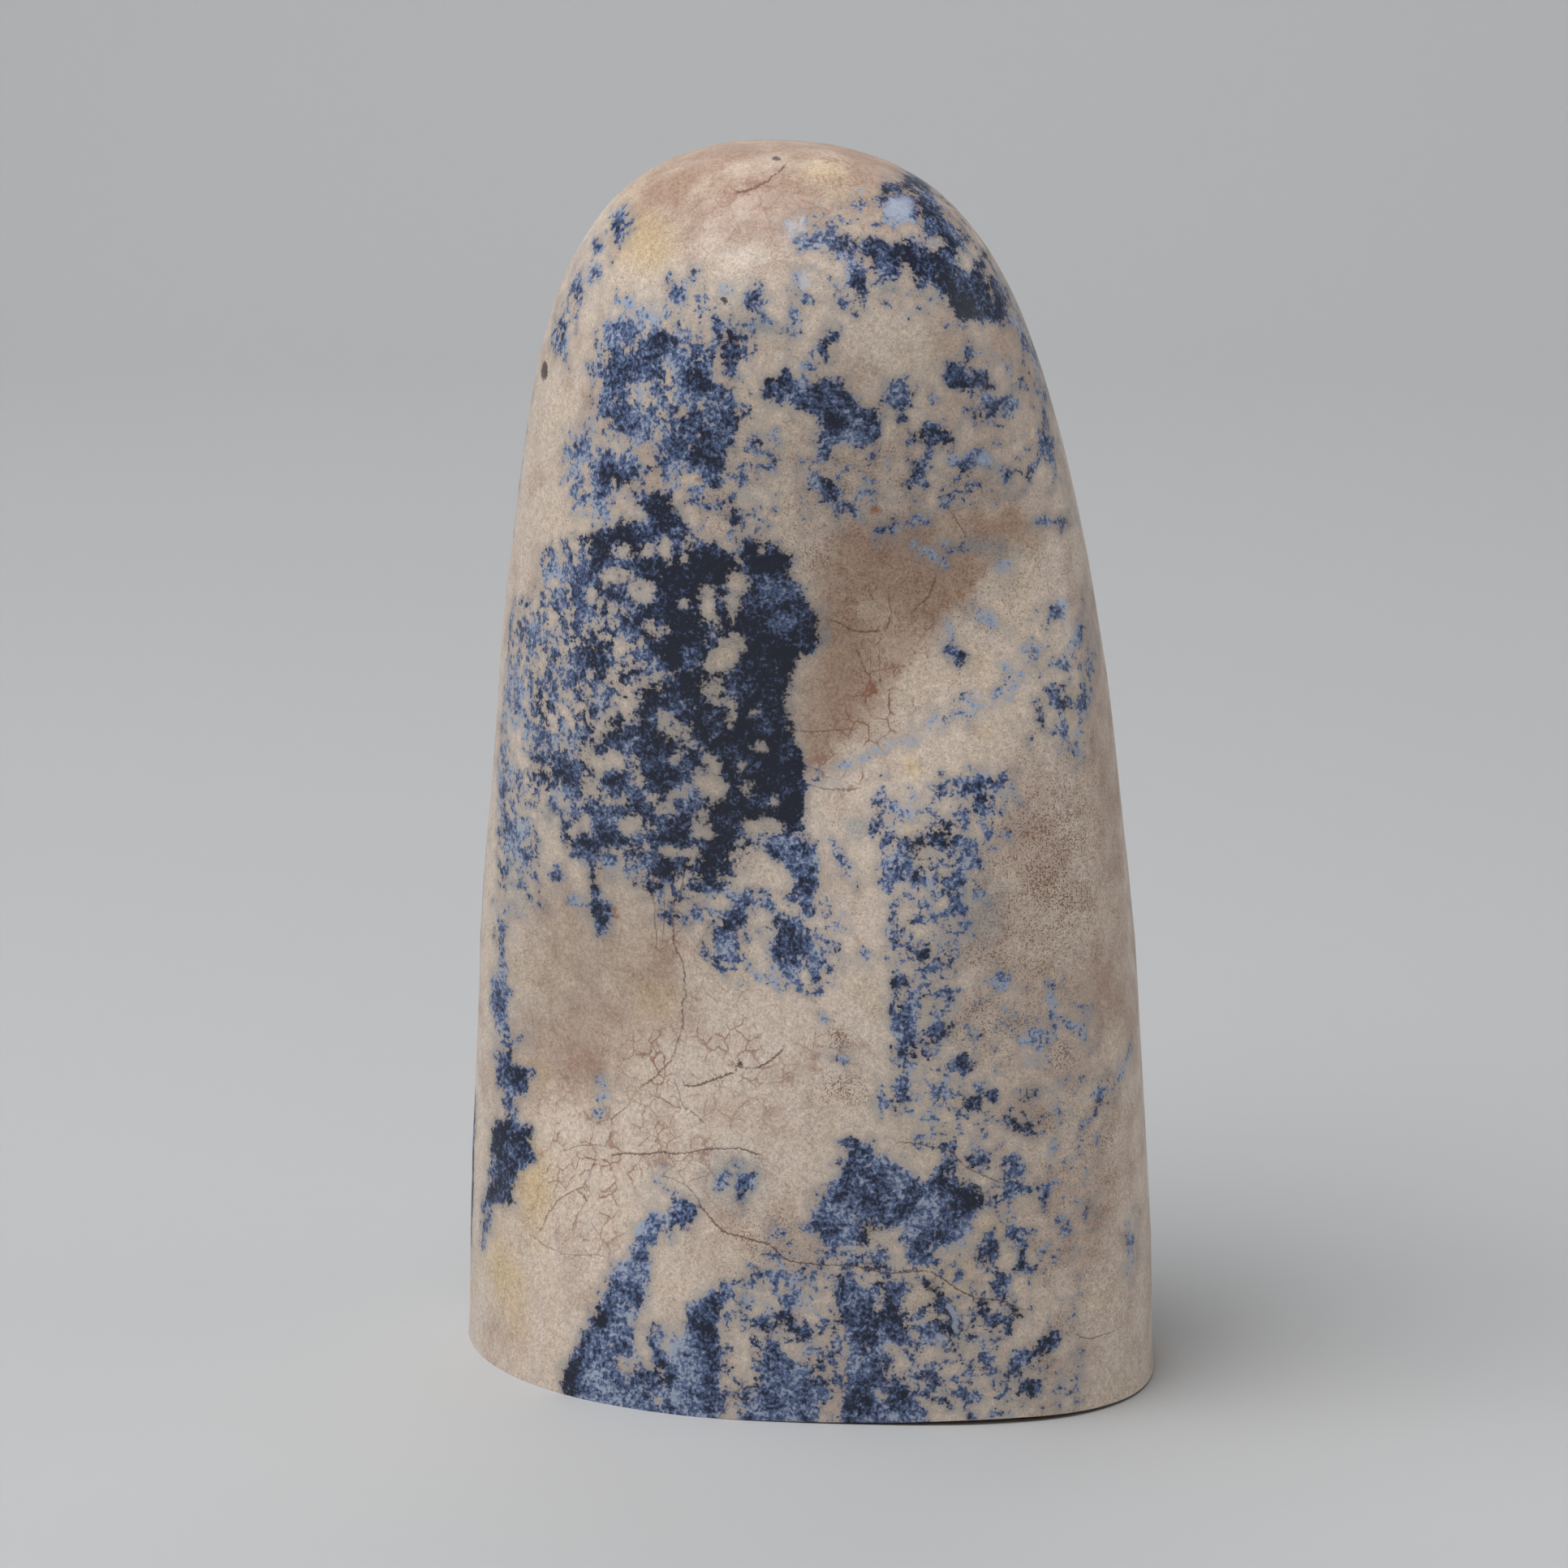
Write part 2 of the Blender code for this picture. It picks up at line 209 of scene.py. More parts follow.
# Blue areas on the front: depth of colour, how solid the blue is, and the outline (across, up)
AREAS = (
    # the field on the upper left
    (0.34, 0.15, (
        (-18.8, 100.8), (-17, 101.2), (-15.5, 102.8), (-13.8, 102.6), (-13, 101), (-11, 100.6),
        (-9.5, 100.2), (-8.2, 99), (-8, 96.8), (-6.2, 95.4), (-6.3, 92), (-7.2, 89.5), (-7.4, 87),
        (-9.5, 85.3), (-12, 86.5), (-14.5, 90), (-17, 90.5), (-18.9, 92.2), (-19.4, 93.4), (-18.9, 95.6),
        (-20.3, 96.5), (-18.3, 97.6), (-19.3, 99.6))),
    (0.2, 0.35, (
        (-20.2, 91.4), (-19.8, 90.4), (-19.4, 88.4), (-20, 86.6), (-19.6, 83.6), (-21.4, 83.2),
        (-22.2, 85.4), (-22.4, 88), (-22.6, 90.6), (-21.2, 90.4))),
    (0.5, 0.7, (
        (-19.1, 89.6), (-17.6, 89.8), (-15, 89.4), (-15, 87.4), (-16.2, 86.9), (-17.8, 86.8), (-18, 85),
        (-17.6, 83.2), (-19, 82.4), (-20, 83.2), (-20.2, 86.2), (-19.6, 88))),
    (0.52, 0.8, (
        (-12.8, 106), (-12.2, 105.6), (-11.3, 105.5), (-10.5, 105.7), (-10.1, 106.4), (-9.7, 105.9),
        (-9.9, 105), (-10.6, 104.6), (-10.8, 103.4), (-11.3, 102.6), (-12.3, 102.7), (-12.7, 103.6),
        (-13, 104.4), (-12.6, 105.2))),
    (0.8, 0.85, (
        (-7.6, 93.6), (-6.4, 93.2), (-6.6, 91), (-7.2, 89.5), (-7.4, 87.8), (-8.5, 86.8), (-9.5, 87.2),
        (-9.6, 88.6), (-10.3, 89.6), (-9.9, 90.3), (-9.7, 91.4), (-8.6, 92), (-7.8, 91.6))),
    # the band across the top right
    (0.62, 0.75, (
        (-1.6, 109.3), (0.5, 109.8), (2.4, 110.2), (3.4, 109.6), (4.3, 108.6), (4.2, 107.2), (3, 107),
        (1.8, 107.6), (0.2, 108.2), (-1.4, 108.7))),
    (0.85, 0.9, (
        (4.4, 109.2), (6, 109.2), (8.2, 108.6), (8.4, 107.2), (8.1, 105.4), (7, 105), (5.9, 105.6),
        (5.4, 107), (4.4, 107.4))),
    (0.3, 0.45, ((3.4, 107.2), (5, 107), (5.4, 105.6), (4.8, 104.4), (3.8, 104.6), (3.2, 106))),
    (0.1, 0.8, (
        (6.5, 112.6), (8.4, 112.7), (9.6, 112.4), (9.9, 111), (9.6, 110), (7.6, 110.2), (6.6, 110.6))),
    (0.84, 0.85, (
        (8, 108.4), (8.9, 108.9), (9.9, 108), (10, 110.2), (9.6, 111.6), (10.2, 113), (11, 112.2),
        (11.9, 110.2), (13.2, 109), (13.7, 107.6), (13.4, 106.6), (14.6, 106), (15, 106.3), (15.9, 107),
        (16.5, 106.6), (15.9, 105.2), (17.4, 104.9), (18.3, 103.4), (18.2, 101.9), (19, 101.2),
        (18.2, 100.8), (17.4, 101.2), (16.4, 100.8), (15.6, 101.6), (14.9, 101.4), (14, 101.5),
        (13.2, 102.3), (12.4, 103.4), (11.5, 104.2), (10.6, 104.8), (9.6, 105.4), (8.9, 106.6),
        (8.2, 107.6))),
    (0.9, 0.95, ((12.6, 103.8), (14, 104.4), (15, 103.4), (15, 102), (14.2, 101.5), (13.3, 102.3))),
    # below the band
    (0.6, 0.8, (
        (2.9, 101.9), (2.6, 100.2), (1.9, 99.8), (2.2, 98.6), (1.6, 98.1), (1.1, 98.8), (0.4, 99.6),
        (1, 100.4), (1.4, 101.4), (2, 101.9))),
    (0.85, 0.9, (
        (-4.4, 96.6), (-2.6, 97.4), (-1.8, 98.2), (-0.9, 97), (0.6, 96.6), (1.6, 97.2), (3.2, 96.9),
        (3.6, 95.6), (5, 94.6), (6.6, 93.6), (6.9, 92.3), (6.4, 91.2), (5.6, 90.6), (4.9, 90.1), (4.4, 91),
        (3.2, 91.2), (2.4, 90.7), (1.9, 89.6), (1.4, 89.2), (0.8, 90.2), (0.4, 91.3), (1, 92.2),
        (0.7, 93.6), (-0.6, 94), (-2.6, 94.4), (-4.2, 94.8))),
    (0.5, 0.8, ((13.6, 98.6), (14, 99.6), (14.6, 100), (15.5, 98.9), (15.3, 98.2), (14.4, 98))),
    (0.88, 0.95, (
        (11.8, 97), (12.4, 98), (13.7, 98.2), (14.2, 97.2), (15.6, 97.4), (16.6, 96.6), (16.7, 95.2),
        (15.4, 95.3), (14.2, 95.4), (12.9, 95.5), (11.9, 96.2))),
    (0.5, 0.75, (
        (14.6, 94.6), (15.4, 95.2), (17, 95), (18.6, 94.8), (19.6, 94.2), (19.5, 93.2), (18, 92.9),
        (16.8, 92.8), (16, 92.6), (15.2, 92.7), (14.6, 93.6))),
    (0.78, 0.88, (
        (8.6, 90.8), (9, 91.6), (10, 92), (10.6, 93), (11.4, 92.6), (12.4, 92.2), (13.2, 91.2),
        (13.6, 90.4), (12.8, 90), (12, 90.4), (11.2, 90.2), (11.3, 89.4), (11, 88.2), (10.6, 87.4),
        (11.2, 86.6), (10.4, 86.4), (9.6, 87.2), (9, 86.4), (8.6, 86.6), (9.2, 87.6), (9.2, 88.4),
        (8.4, 88.8), (9.2, 89.4), (10.2, 89.4), (10.2, 90.4), (9.6, 91))),
    (0.4, 0.7, (
        (12.3, 88.9), (12.6, 89.6), (13.8, 89.6), (14.4, 90), (15.6, 90.2), (16.6, 89.8), (17, 88.8),
        (18.2, 88.2), (18.1, 87.6), (17.6, 87.3), (17, 88), (16, 88.4), (14.6, 88.2), (13.6, 88.2),
        (12.4, 88.3))),
    (0.6, 0.85, (
        (21.4, 91.3), (22, 90.8), (22.6, 90), (22.8, 88.6), (22.4, 87.2), (21.8, 87.3), (21.4, 88.4),
        (20.8, 87.6), (20.2, 86.6), (19.7, 86.9), (20.2, 88.2), (20.9, 89.4), (21.1, 90.6))),
    (0.6, 0.85, (
        (0.2, 88.6), (1, 88.2), (2.2, 87.8), (2.8, 86.8), (2.8, 86), (4, 85.8), (4.6, 84.6), (5.2, 84.1),
        (4.4, 83.9), (3.4, 84.4), (2.6, 83.6), (2.2, 84.4), (2.3, 85.4), (1.2, 85.8), (0.7, 86.4),
        (0.2, 87), (-0.4, 86.9), (0, 87.8))),
    (0.75, 0.95, (
        (20.6, 83.2), (21.6, 83.6), (22.4, 82.8), (23.4, 83.4), (24, 83.6), (24, 82.2), (23.2, 82),
        (22.6, 82.4), (21.6, 82.2), (20.8, 82.5))),
    # the main mass on the left and its dark right side
    (1.0, 0.84, (
        (-19.8, 82.2), (-18, 82.6), (-15.8, 84), (-14.8, 85.8), (-12.6, 86), (-11, 85.4), (-10.8, 83),
        (-10, 81.8), (-8.4, 82), (-8, 81), (-6.2, 80.4), (-5.8, 82.4), (-4.6, 82), (-4.2, 80.6), (-3.6, 82),
        (-2.9, 81.6), (-2, 81), (-1.4, 80), (-1.6, 78.9), (-1, 78.1), (-0.2, 76.6), (0.9, 75.1),
        (1.1, 73.6), (0.9, 71.7), (-0.6, 71.3), (-1.5, 70), (-1.8, 67), (-1.6, 65), (-1, 63), (-0.4, 61.5),
        (-0.2, 60.4), (0.1, 59), (-0.3, 58), (-0.2, 56), (-0.3, 54.8), (-2.6, 54.2), (-5.7, 53.4),
        (-7.3, 52.8), (-8.2, 52), (-8.1, 50.8), (-7.8, 49.8), (-8.2, 48.6), (-9, 48), (-9.9, 48.8),
        (-10.6, 49.2), (-10, 50.2), (-10, 51.4), (-10.2, 53), (-11.8, 54.6), (-12, 58), (-15.2, 60.6),
        (-19, 61.8), (-19.1, 62.8), (-17.6, 64.3), (-16, 64.4), (-15.4, 67.4), (-14, 68.2), (-12.4, 68.8),
        (-12.8, 70), (-14.4, 71), (-15.8, 72.6), (-17.4, 74.4), (-19, 75), (-19.6, 73.6), (-21, 73.4),
        (-22, 74.6), (-21.5, 78), (-20, 79.5))),
    (1.1, 1, (
        (-5.4, 79.6), (-3, 80), (-1.6, 78.6), (-0.4, 76.6), (0.6, 74.8), (0.8, 72.2), (-1, 71), (-2, 68),
        (-1.6, 64), (-1, 61), (-0.6, 57), (-3, 55), (-7.4, 54.4), (-8, 57), (-7.4, 60), (-6.8, 63),
        (-5.4, 65), (-6.4, 68.6), (-5.6, 71), (-5.8, 74), (-5.2, 77))),
    (0.72, 0.6, (
        (-22.8, 62.4), (-20, 62.2), (-16, 61), (-12.8, 61.6), (-11, 58), (-10.4, 54.6), (-10.2, 52),
        (-11.4, 50.6), (-12, 49.8), (-14, 50), (-15.6, 51.4), (-18.5, 52.4), (-22, 52), (-21.9, 53),
        (-20, 55), (-22.6, 56.4), (-24.4, 59), (-24.4, 61.2))),
    (0.8, 0.9, (
        (-20, 66.2), (-19, 66.9), (-17.9, 67.3), (-17.9, 66.4), (-17.1, 65.9), (-17.5, 65.5), (-18.1, 65.6),
        (-19, 65.4), (-18.1, 64.9), (-17.9, 64.5), (-19.8, 64.2), (-20.1, 65.1))),
    (0.8, 0.9, (
        (-20, 56.2), (-19, 56.6), (-18.5, 55.8), (-18, 54.8), (-17.5, 54), (-18, 53.4), (-19.3, 53.2),
        (-19.4, 54.3), (-20, 54.8))),
    (0.85, 0.95, (
        (-21.9, 52.6), (-20.6, 53.8), (-20, 53.4), (-19.2, 53.2), (-18.7, 52.4), (-19.4, 51.4), (-20, 50.7),
        (-21, 51.4), (-21.9, 51.8))),
    (0.85, 0.95, (
        (-20.1, 50.2), (-19.7, 49), (-19.3, 47.8), (-18.4, 46.9), (-18.1, 45.4), (-18.3, 44.4), (-19, 43.8),
        (-19.8, 43.9), (-20.2, 45), (-20.4, 46.2), (-20.2, 47.6), (-20.4, 49))),
    (0.85, 0.9, (
        (-15.7, 52), (-14.6, 52.2), (-13.4, 51.6), (-12.4, 52), (-11.4, 51.4), (-11.4, 50.6), (-12, 49.8),
        (-12.8, 49.4), (-13.3, 48.4), (-13.9, 48.8), (-14, 50.2), (-15.2, 50.6), (-15.7, 51.4))),
    (0.9, 0.95, (
        (-10.2, 53.2), (-9, 53.4), (-7.6, 53.6), (-7.3, 52.8), (-8.2, 52), (-8.1, 50.8), (-7.8, 49.8),
        (-8.2, 48.6), (-9, 48), (-9.9, 48.8), (-10.6, 49.2), (-10, 50.2), (-10, 51.4))),
    # the middle blue below it
    (0.55, 0.8, (
        (-4.9, 54.5), (-3.5, 54.5), (-1.5, 54.6), (-0.3, 54.8), (0.3, 54.2), (0.9, 53), (1.2, 51.6),
        (1, 50.2), (0.6, 48.8), (0.8, 47.6), (0.2, 46.8), (-0.8, 47.2), (-0.9, 48.6), (-1.4, 50.2),
        (-2.4, 51.6), (-3.4, 52), (-4.4, 53.2))),
    (0.5, 0.8, (
        (-8.8, 43), (-8.8, 45), (-8, 46.4), (-7.4, 48), (-6.7, 49.3), (-5.6, 49.4), (-4.4, 48.6),
        (-3.2, 47.8), (-2.2, 47.2), (-1, 47), (0, 46.8), (0.2, 45.8), (-1.2, 45.6), (-2.6, 46),
        (-3.6, 46.9), (-4.8, 47.6), (-5.8, 47), (-6.2, 45.6), (-5.4, 44.6), (-6, 43), (-6.3, 42.2),
        (-7.4, 42.4))),
    (0.6, 0.85, (
        (-3.6, 45), (-2.8, 45.8), (-1.2, 46.4), (0.2, 45.9), (1.6, 45.8), (2.1, 45.2), (2.7, 45),
        (2.7, 44.4), (1.9, 43.9), (1.4, 42.8), (1.2, 41), (0.4, 40.8), (0.1, 42.8), (-0.6, 43.6),
        (-0.6, 41.4), (-1.6, 40.8), (-2.6, 41.6), (-3.6, 43))),
    # the left edge
    (0.42, 0.65, (
        (-26.7, 72.7), (-25.2, 72.4), (-24.5, 72.6), (-24.2, 71.9), (-22.3, 72.2), (-22.4, 71.5),
        (-23.4, 70.6), (-24.2, 70.9), (-24.7, 70.1), (-24.5, 69), (-25.4, 68.7), (-26, 69.3), (-26.7, 69.6),
        (-26.3, 70.6), (-26, 71.4))),
    (0.45, 0.8, (
        (-28.6, 55.3), (-28, 53.6), (-26.8, 53.2), (-25.6, 53), (-25.8, 52.2), (-26.2, 51), (-25.8, 49.9),
        (-25.2, 48.9), (-24.8, 47.8), (-25.4, 47.5), (-26, 48.2), (-26.6, 49), (-27.5, 49), (-28.3, 50),
        (-29, 51.3), (-29.2, 52.5), (-28.6, 53.8))),
    (0.52, 0.8, (
        (-28.9, 44.2), (-28.3, 42), (-28.5, 39.6), (-28.3, 37.2), (-27.8, 35.5), (-28.3, 32.6),
        (-28.1, 31.6), (-26.7, 31.9), (-26.8, 31.3), (-27.9, 30.9), (-28.3, 30), (-29.5, 30.5),
        (-29.9, 33.2), (-30.4, 35.6), (-30.3, 37.2), (-29.7, 38.1), (-29.4, 39.4), (-29.5, 42))),
    (0.68, 0.8, (
        (-28.3, 30), (-27.9, 29.3), (-25.7, 28.8), (-25.9, 28), (-26.7, 26.7), (-27.7, 25.7), (-27.5, 24.5),
        (-29.1, 24.9), (-29.7, 26.8), (-30.1, 29.6), (-29.5, 30.5))),
    (0.92, 0.97, (
        (-29.5, 23.3), (-27.5, 24.5), (-26.9, 23.8), (-26.1, 23.5), (-26, 20.4), (-27.3, 19.3),
        (-28.1, 17.6), (-27.7, 16.3), (-28.3, 15.8), (-29.1, 15.8), (-30.1, 14.8), (-31.1, 15.1),
        (-30.3, 17.2), (-30.2, 20.2), (-30.3, 22.8))),
    (0.62, 0.9, ((-30.1, 14.8), (-30.5, 12.6), (-31.1, 10.5), (-31.5, 10.5), (-31.3, 12.5), (-31.1, 15.1))),
    # right of the middle
    (0.5, 0.75, ((5.2, 56.4), (5.8, 57), (7.2, 57), (7.6, 56.2), (7, 55.6), (6.4, 55.2), (5.6, 55.6))),
    (0.4, 0.75, (
        (6.3, 53.8), (7.6, 53.6), (8.8, 53.4), (9.4, 52.8), (9, 51.6), (8.8, 51.2), (8, 50.9), (7.4, 51.2),
        (6.5, 52))),
    (0.6, 0.8, (
        (10.9, 59.6), (11.8, 60.4), (12.6, 60.7), (13.4, 60.8), (14.2, 60.9), (14.6, 61.4), (15.8, 61.3),
        (16.8, 60.6), (17.6, 60), (18, 59.6), (18.8, 59), (19.4, 58.6), (19.7, 57.8), (18.9, 58.2),
        (17.8, 59), (16.8, 59.4), (16, 59), (16, 58), (15.6, 57.2), (14.8, 57.6), (14.6, 58.6),
        (14.2, 59.2), (12.8, 59.4), (11.8, 59.2))),
    (0.65, 0.85, (
        (7.3, 48.8), (7.8, 49), (8.4, 48), (8.6, 47), (8.8, 46), (8.2, 45.4), (7.4, 46), (7, 46.8),
        (7.4, 47.8))),
    (0.85, 0.95, (
        (8.8, 44.8), (9.6, 45.8), (10.4, 46.4), (11, 45.9), (11.3, 45.3), (10.2, 44.8), (9.6, 44.2))),
    (0.75, 0.9, (
        (20.4, 67), (21, 66.8), (21.4, 66.1), (22, 65.2), (22.3, 64.4), (22.2, 64), (21.6, 64.1), (21, 65),
        (20.6, 65.8))),
    (0.6, 0.8, (
        (21.6, 68.2), (22.4, 68.2), (23.2, 67.6), (23.9, 66.6), (23.8, 65.6), (23.2, 65.2), (22.8, 66),
        (22.2, 66.6), (21.8, 67.4))),
    (0.45, 0.85, (
        (7.3, 40.2), (8, 40), (9.8, 40.5), (10.4, 39.8), (10, 38.4), (10.5, 38), (10, 37.5), (9.7, 36.8),
        (9.4, 35.2), (9.3, 34), (9.6, 33.3), (9.7, 32.2), (8.9, 30.5), (8.2, 30.7), (8, 31.9), (7.8, 33.1),
        (8.7, 33.8), (8.7, 35.2), (8.2, 36.1), (7.8, 37), (7.3, 38.4), (7.2, 39.6))),
    (0.6, 0.85, (
        (12.2, 41.2), (13, 41), (13.4, 39.8), (12.8, 39.2), (12.4, 38.6), (12.6, 37.2), (12, 36.3),
        (11.2, 36.2), (10.8, 37.4), (11.2, 38.6), (12, 39.6), (11.9, 40.6))),
    (0.35, 0.8, ((6, 31), (6.4, 31.9), (6.9, 31.4), (7.2, 30), (7, 29), (6.2, 28.9), (5.7, 30))),
    # the lower right mass
    (0.5, 0.85, (
        (4.2, 27.2), (5, 26.6), (6, 27), (6.4, 25.6), (8.2, 25.4), (9.6, 24.4), (10.6, 23.7), (11.4, 24),
        (11.9, 24.9), (12.2, 26), (13, 26.4), (13.4, 25), (13.2, 24), (14, 23.4), (14.4, 22.6),
        (15.6, 22.2), (15.7, 20.8), (15.4, 19.8), (14.8, 18.2), (14.6, 17.2), (13.2, 17), (12, 17.4),
        (11.6, 16), (11, 15), (9.4, 15.2), (8.8, 16.6), (8, 17.6), (6.8, 19.2), (5.9, 18.4), (4.6, 17.2),
        (3.4, 17), (2.4, 16.8), (1, 17.6), (-0.2, 18), (-0.6, 18.6), (0.1, 19.6), (0.8, 20.4), (0.6, 21.2),
        (1.2, 22.2), (1.8, 23), (2.6, 23.8), (3.2, 25), (3.6, 26.4))),
    (0.7, 0.85, (
        (17.9, 18.2), (18.8, 19), (19.6, 18.4), (21.2, 18.4), (20.2, 17.8), (19.8, 17), (20.2, 15.6),
        (19.4, 15.4), (18.8, 17), (18, 17.4))),
    (0.6, 0.75, (
        (-8.7, 22.5), (-7.9, 23.1), (-7, 23.9), (-6.7, 23.8), (-7.2, 23), (-7.8, 22.6), (-7.8, 22),
        (-6.6, 22.7), (-6.2, 23.1), (-5.4, 23.6), (-5.1, 22.8), (-5.1, 21.8), (-5.8, 21), (-6.2, 20.2),
        (-6.7, 20.4), (-6.6, 21.2), (-7.4, 21), (-8.2, 21.1), (-8.6, 21.9))),
    # the wedge that runs down to the base, and the masses along the base
    (0.48, 0.85, (
        (-12.4, 20.4), (-11.4, 20.4), (-10.1, 20.3), (-10.7, 19), (-11.7, 18.3), (-12.4, 16.3), (-13, 16.9),
        (-13.8, 16.4), (-14.6, 15.2), (-14.4, 13.7), (-14.6, 12.6), (-14.8, 11.5), (-15, 9.9), (-16.1, 9),
        (-16.1, 7.4), (-16, 5), (-15.4, 3), (-14, 1.4), (-13, -1), (-22.9, -1), (-22.8, 1.4), (-22.6, 2.5),
        (-22.3, 3.3), (-21.7, 4.3), (-21, 5.5), (-20.6, 6.7), (-20, 7.8), (-19.6, 9), (-19.2, 10.2),
        (-19, 11), (-18.5, 11.7), (-18.5, 12.6), (-17.7, 13.5), (-16.9, 14.4), (-16.3, 15.1), (-16.3, 16.4),
        (-15.4, 17.6), (-14.6, 18.9), (-13.4, 18.4), (-12.9, 19.4))),
    (0.55, 0.88, (
        (-9.1, 12.2), (-7.8, 13), (-7.2, 12.6), (-7, 11.4), (-6.8, 10.6), (-7.8, 10.2), (-8, 8.9),
        (-7.9, 2.6), (-6.4, 3), (-8, 0.4), (-8.2, -1), (-13, -1), (-14, 1), (-13.4, 3.4), (-12.8, 5.5),
        (-12.2, 6.5), (-11.5, 8.2), (-11.3, 9.6), (-11.1, 10.5), (-9.9, 11))),
    (0.52, 0.88, (
        (-3.2, 8.4), (-2.6, 7.6), (-1.3, 6.4), (0, 5), (1.9, 3.6), (1.9, 2.6), (1.2, 2), (1.2, -1),
        (-6.4, -1), (-6.2, 1), (-5.6, 2.4), (-4.8, 3.2), (-4.5, 4.6), (-4.6, 6), (-4, 7.4))),
    (0.6, 0.85, (
        (2.3, 14.6), (4, 14), (5.8, 13.2), (7.2, 13.9), (9.2, 13.9), (9.8, 13.4), (8.8, 12.3), (8.5, 11.3),
        (8.7, 10.1), (9.8, 9), (9.6, 8.2), (7.8, 7.9), (7.3, 6.1), (7.4, 4.5), (8.8, 4.5), (9.7, 3.3),
        (10.4, 2.6), (11.3, 1.4), (11.7, -1), (2.8, -1), (3, 2.2), (3.3, 4.2), (3.5, 6.1), (3.5, 8.5),
        (3, 9.9), (2.6, 11.3), (2.1, 12.9))),
    (0.95, 1, (
        (10.4, 14), (11.4, 13.8), (12.4, 13), (13.4, 12), (13.9, 10.6), (14, 9.6), (13.7, 8.6), (13, 8),
        (12.2, 8), (11.6, 8.6), (11, 9), (11.4, 10.2), (11.6, 11.4), (11.4, 12.2), (11, 13))),
    (0.65, 0.85, (
        (15.6, 11.2), (16.4, 11.8), (17.2, 11), (18, 10.6), (17.8, 9.2), (16.8, 8.8), (16.4, 9.6),
        (15.6, 10))),
    (0.8, 0.95, (
        (19.4, 15.6), (20, 16), (20.4, 15.4), (21.3, 14.6), (20.9, 14.1), (19.8, 14.2), (19, 14.6),
        (18.6, 14.8))),
    (0.55, 0.85, (
        (15.6, 7.6), (16.8, 7.9), (17.3, 6.6), (17.2, 5.6), (18, 4.8), (17.6, 4.4), (16.6, 5.2),
        (15.6, 5.8))),
    (0.82, 0.95, (
        (18, 4.8), (19, 5.8), (19.8, 5.6), (20, 4.6), (20.9, 4.4), (21.6, 4), (21.8, 2.8), (21, 2.2),
        (20, 2.6), (19.6, 3.6), (18.8, 4.4))),
    (0.7, 0.9, ((10.6, 4.8), (11.4, 5.6), (12.2, 5), (12.6, 4), (12.2, 3.2), (11.2, 3.4), (10.6, 3.8))),
)

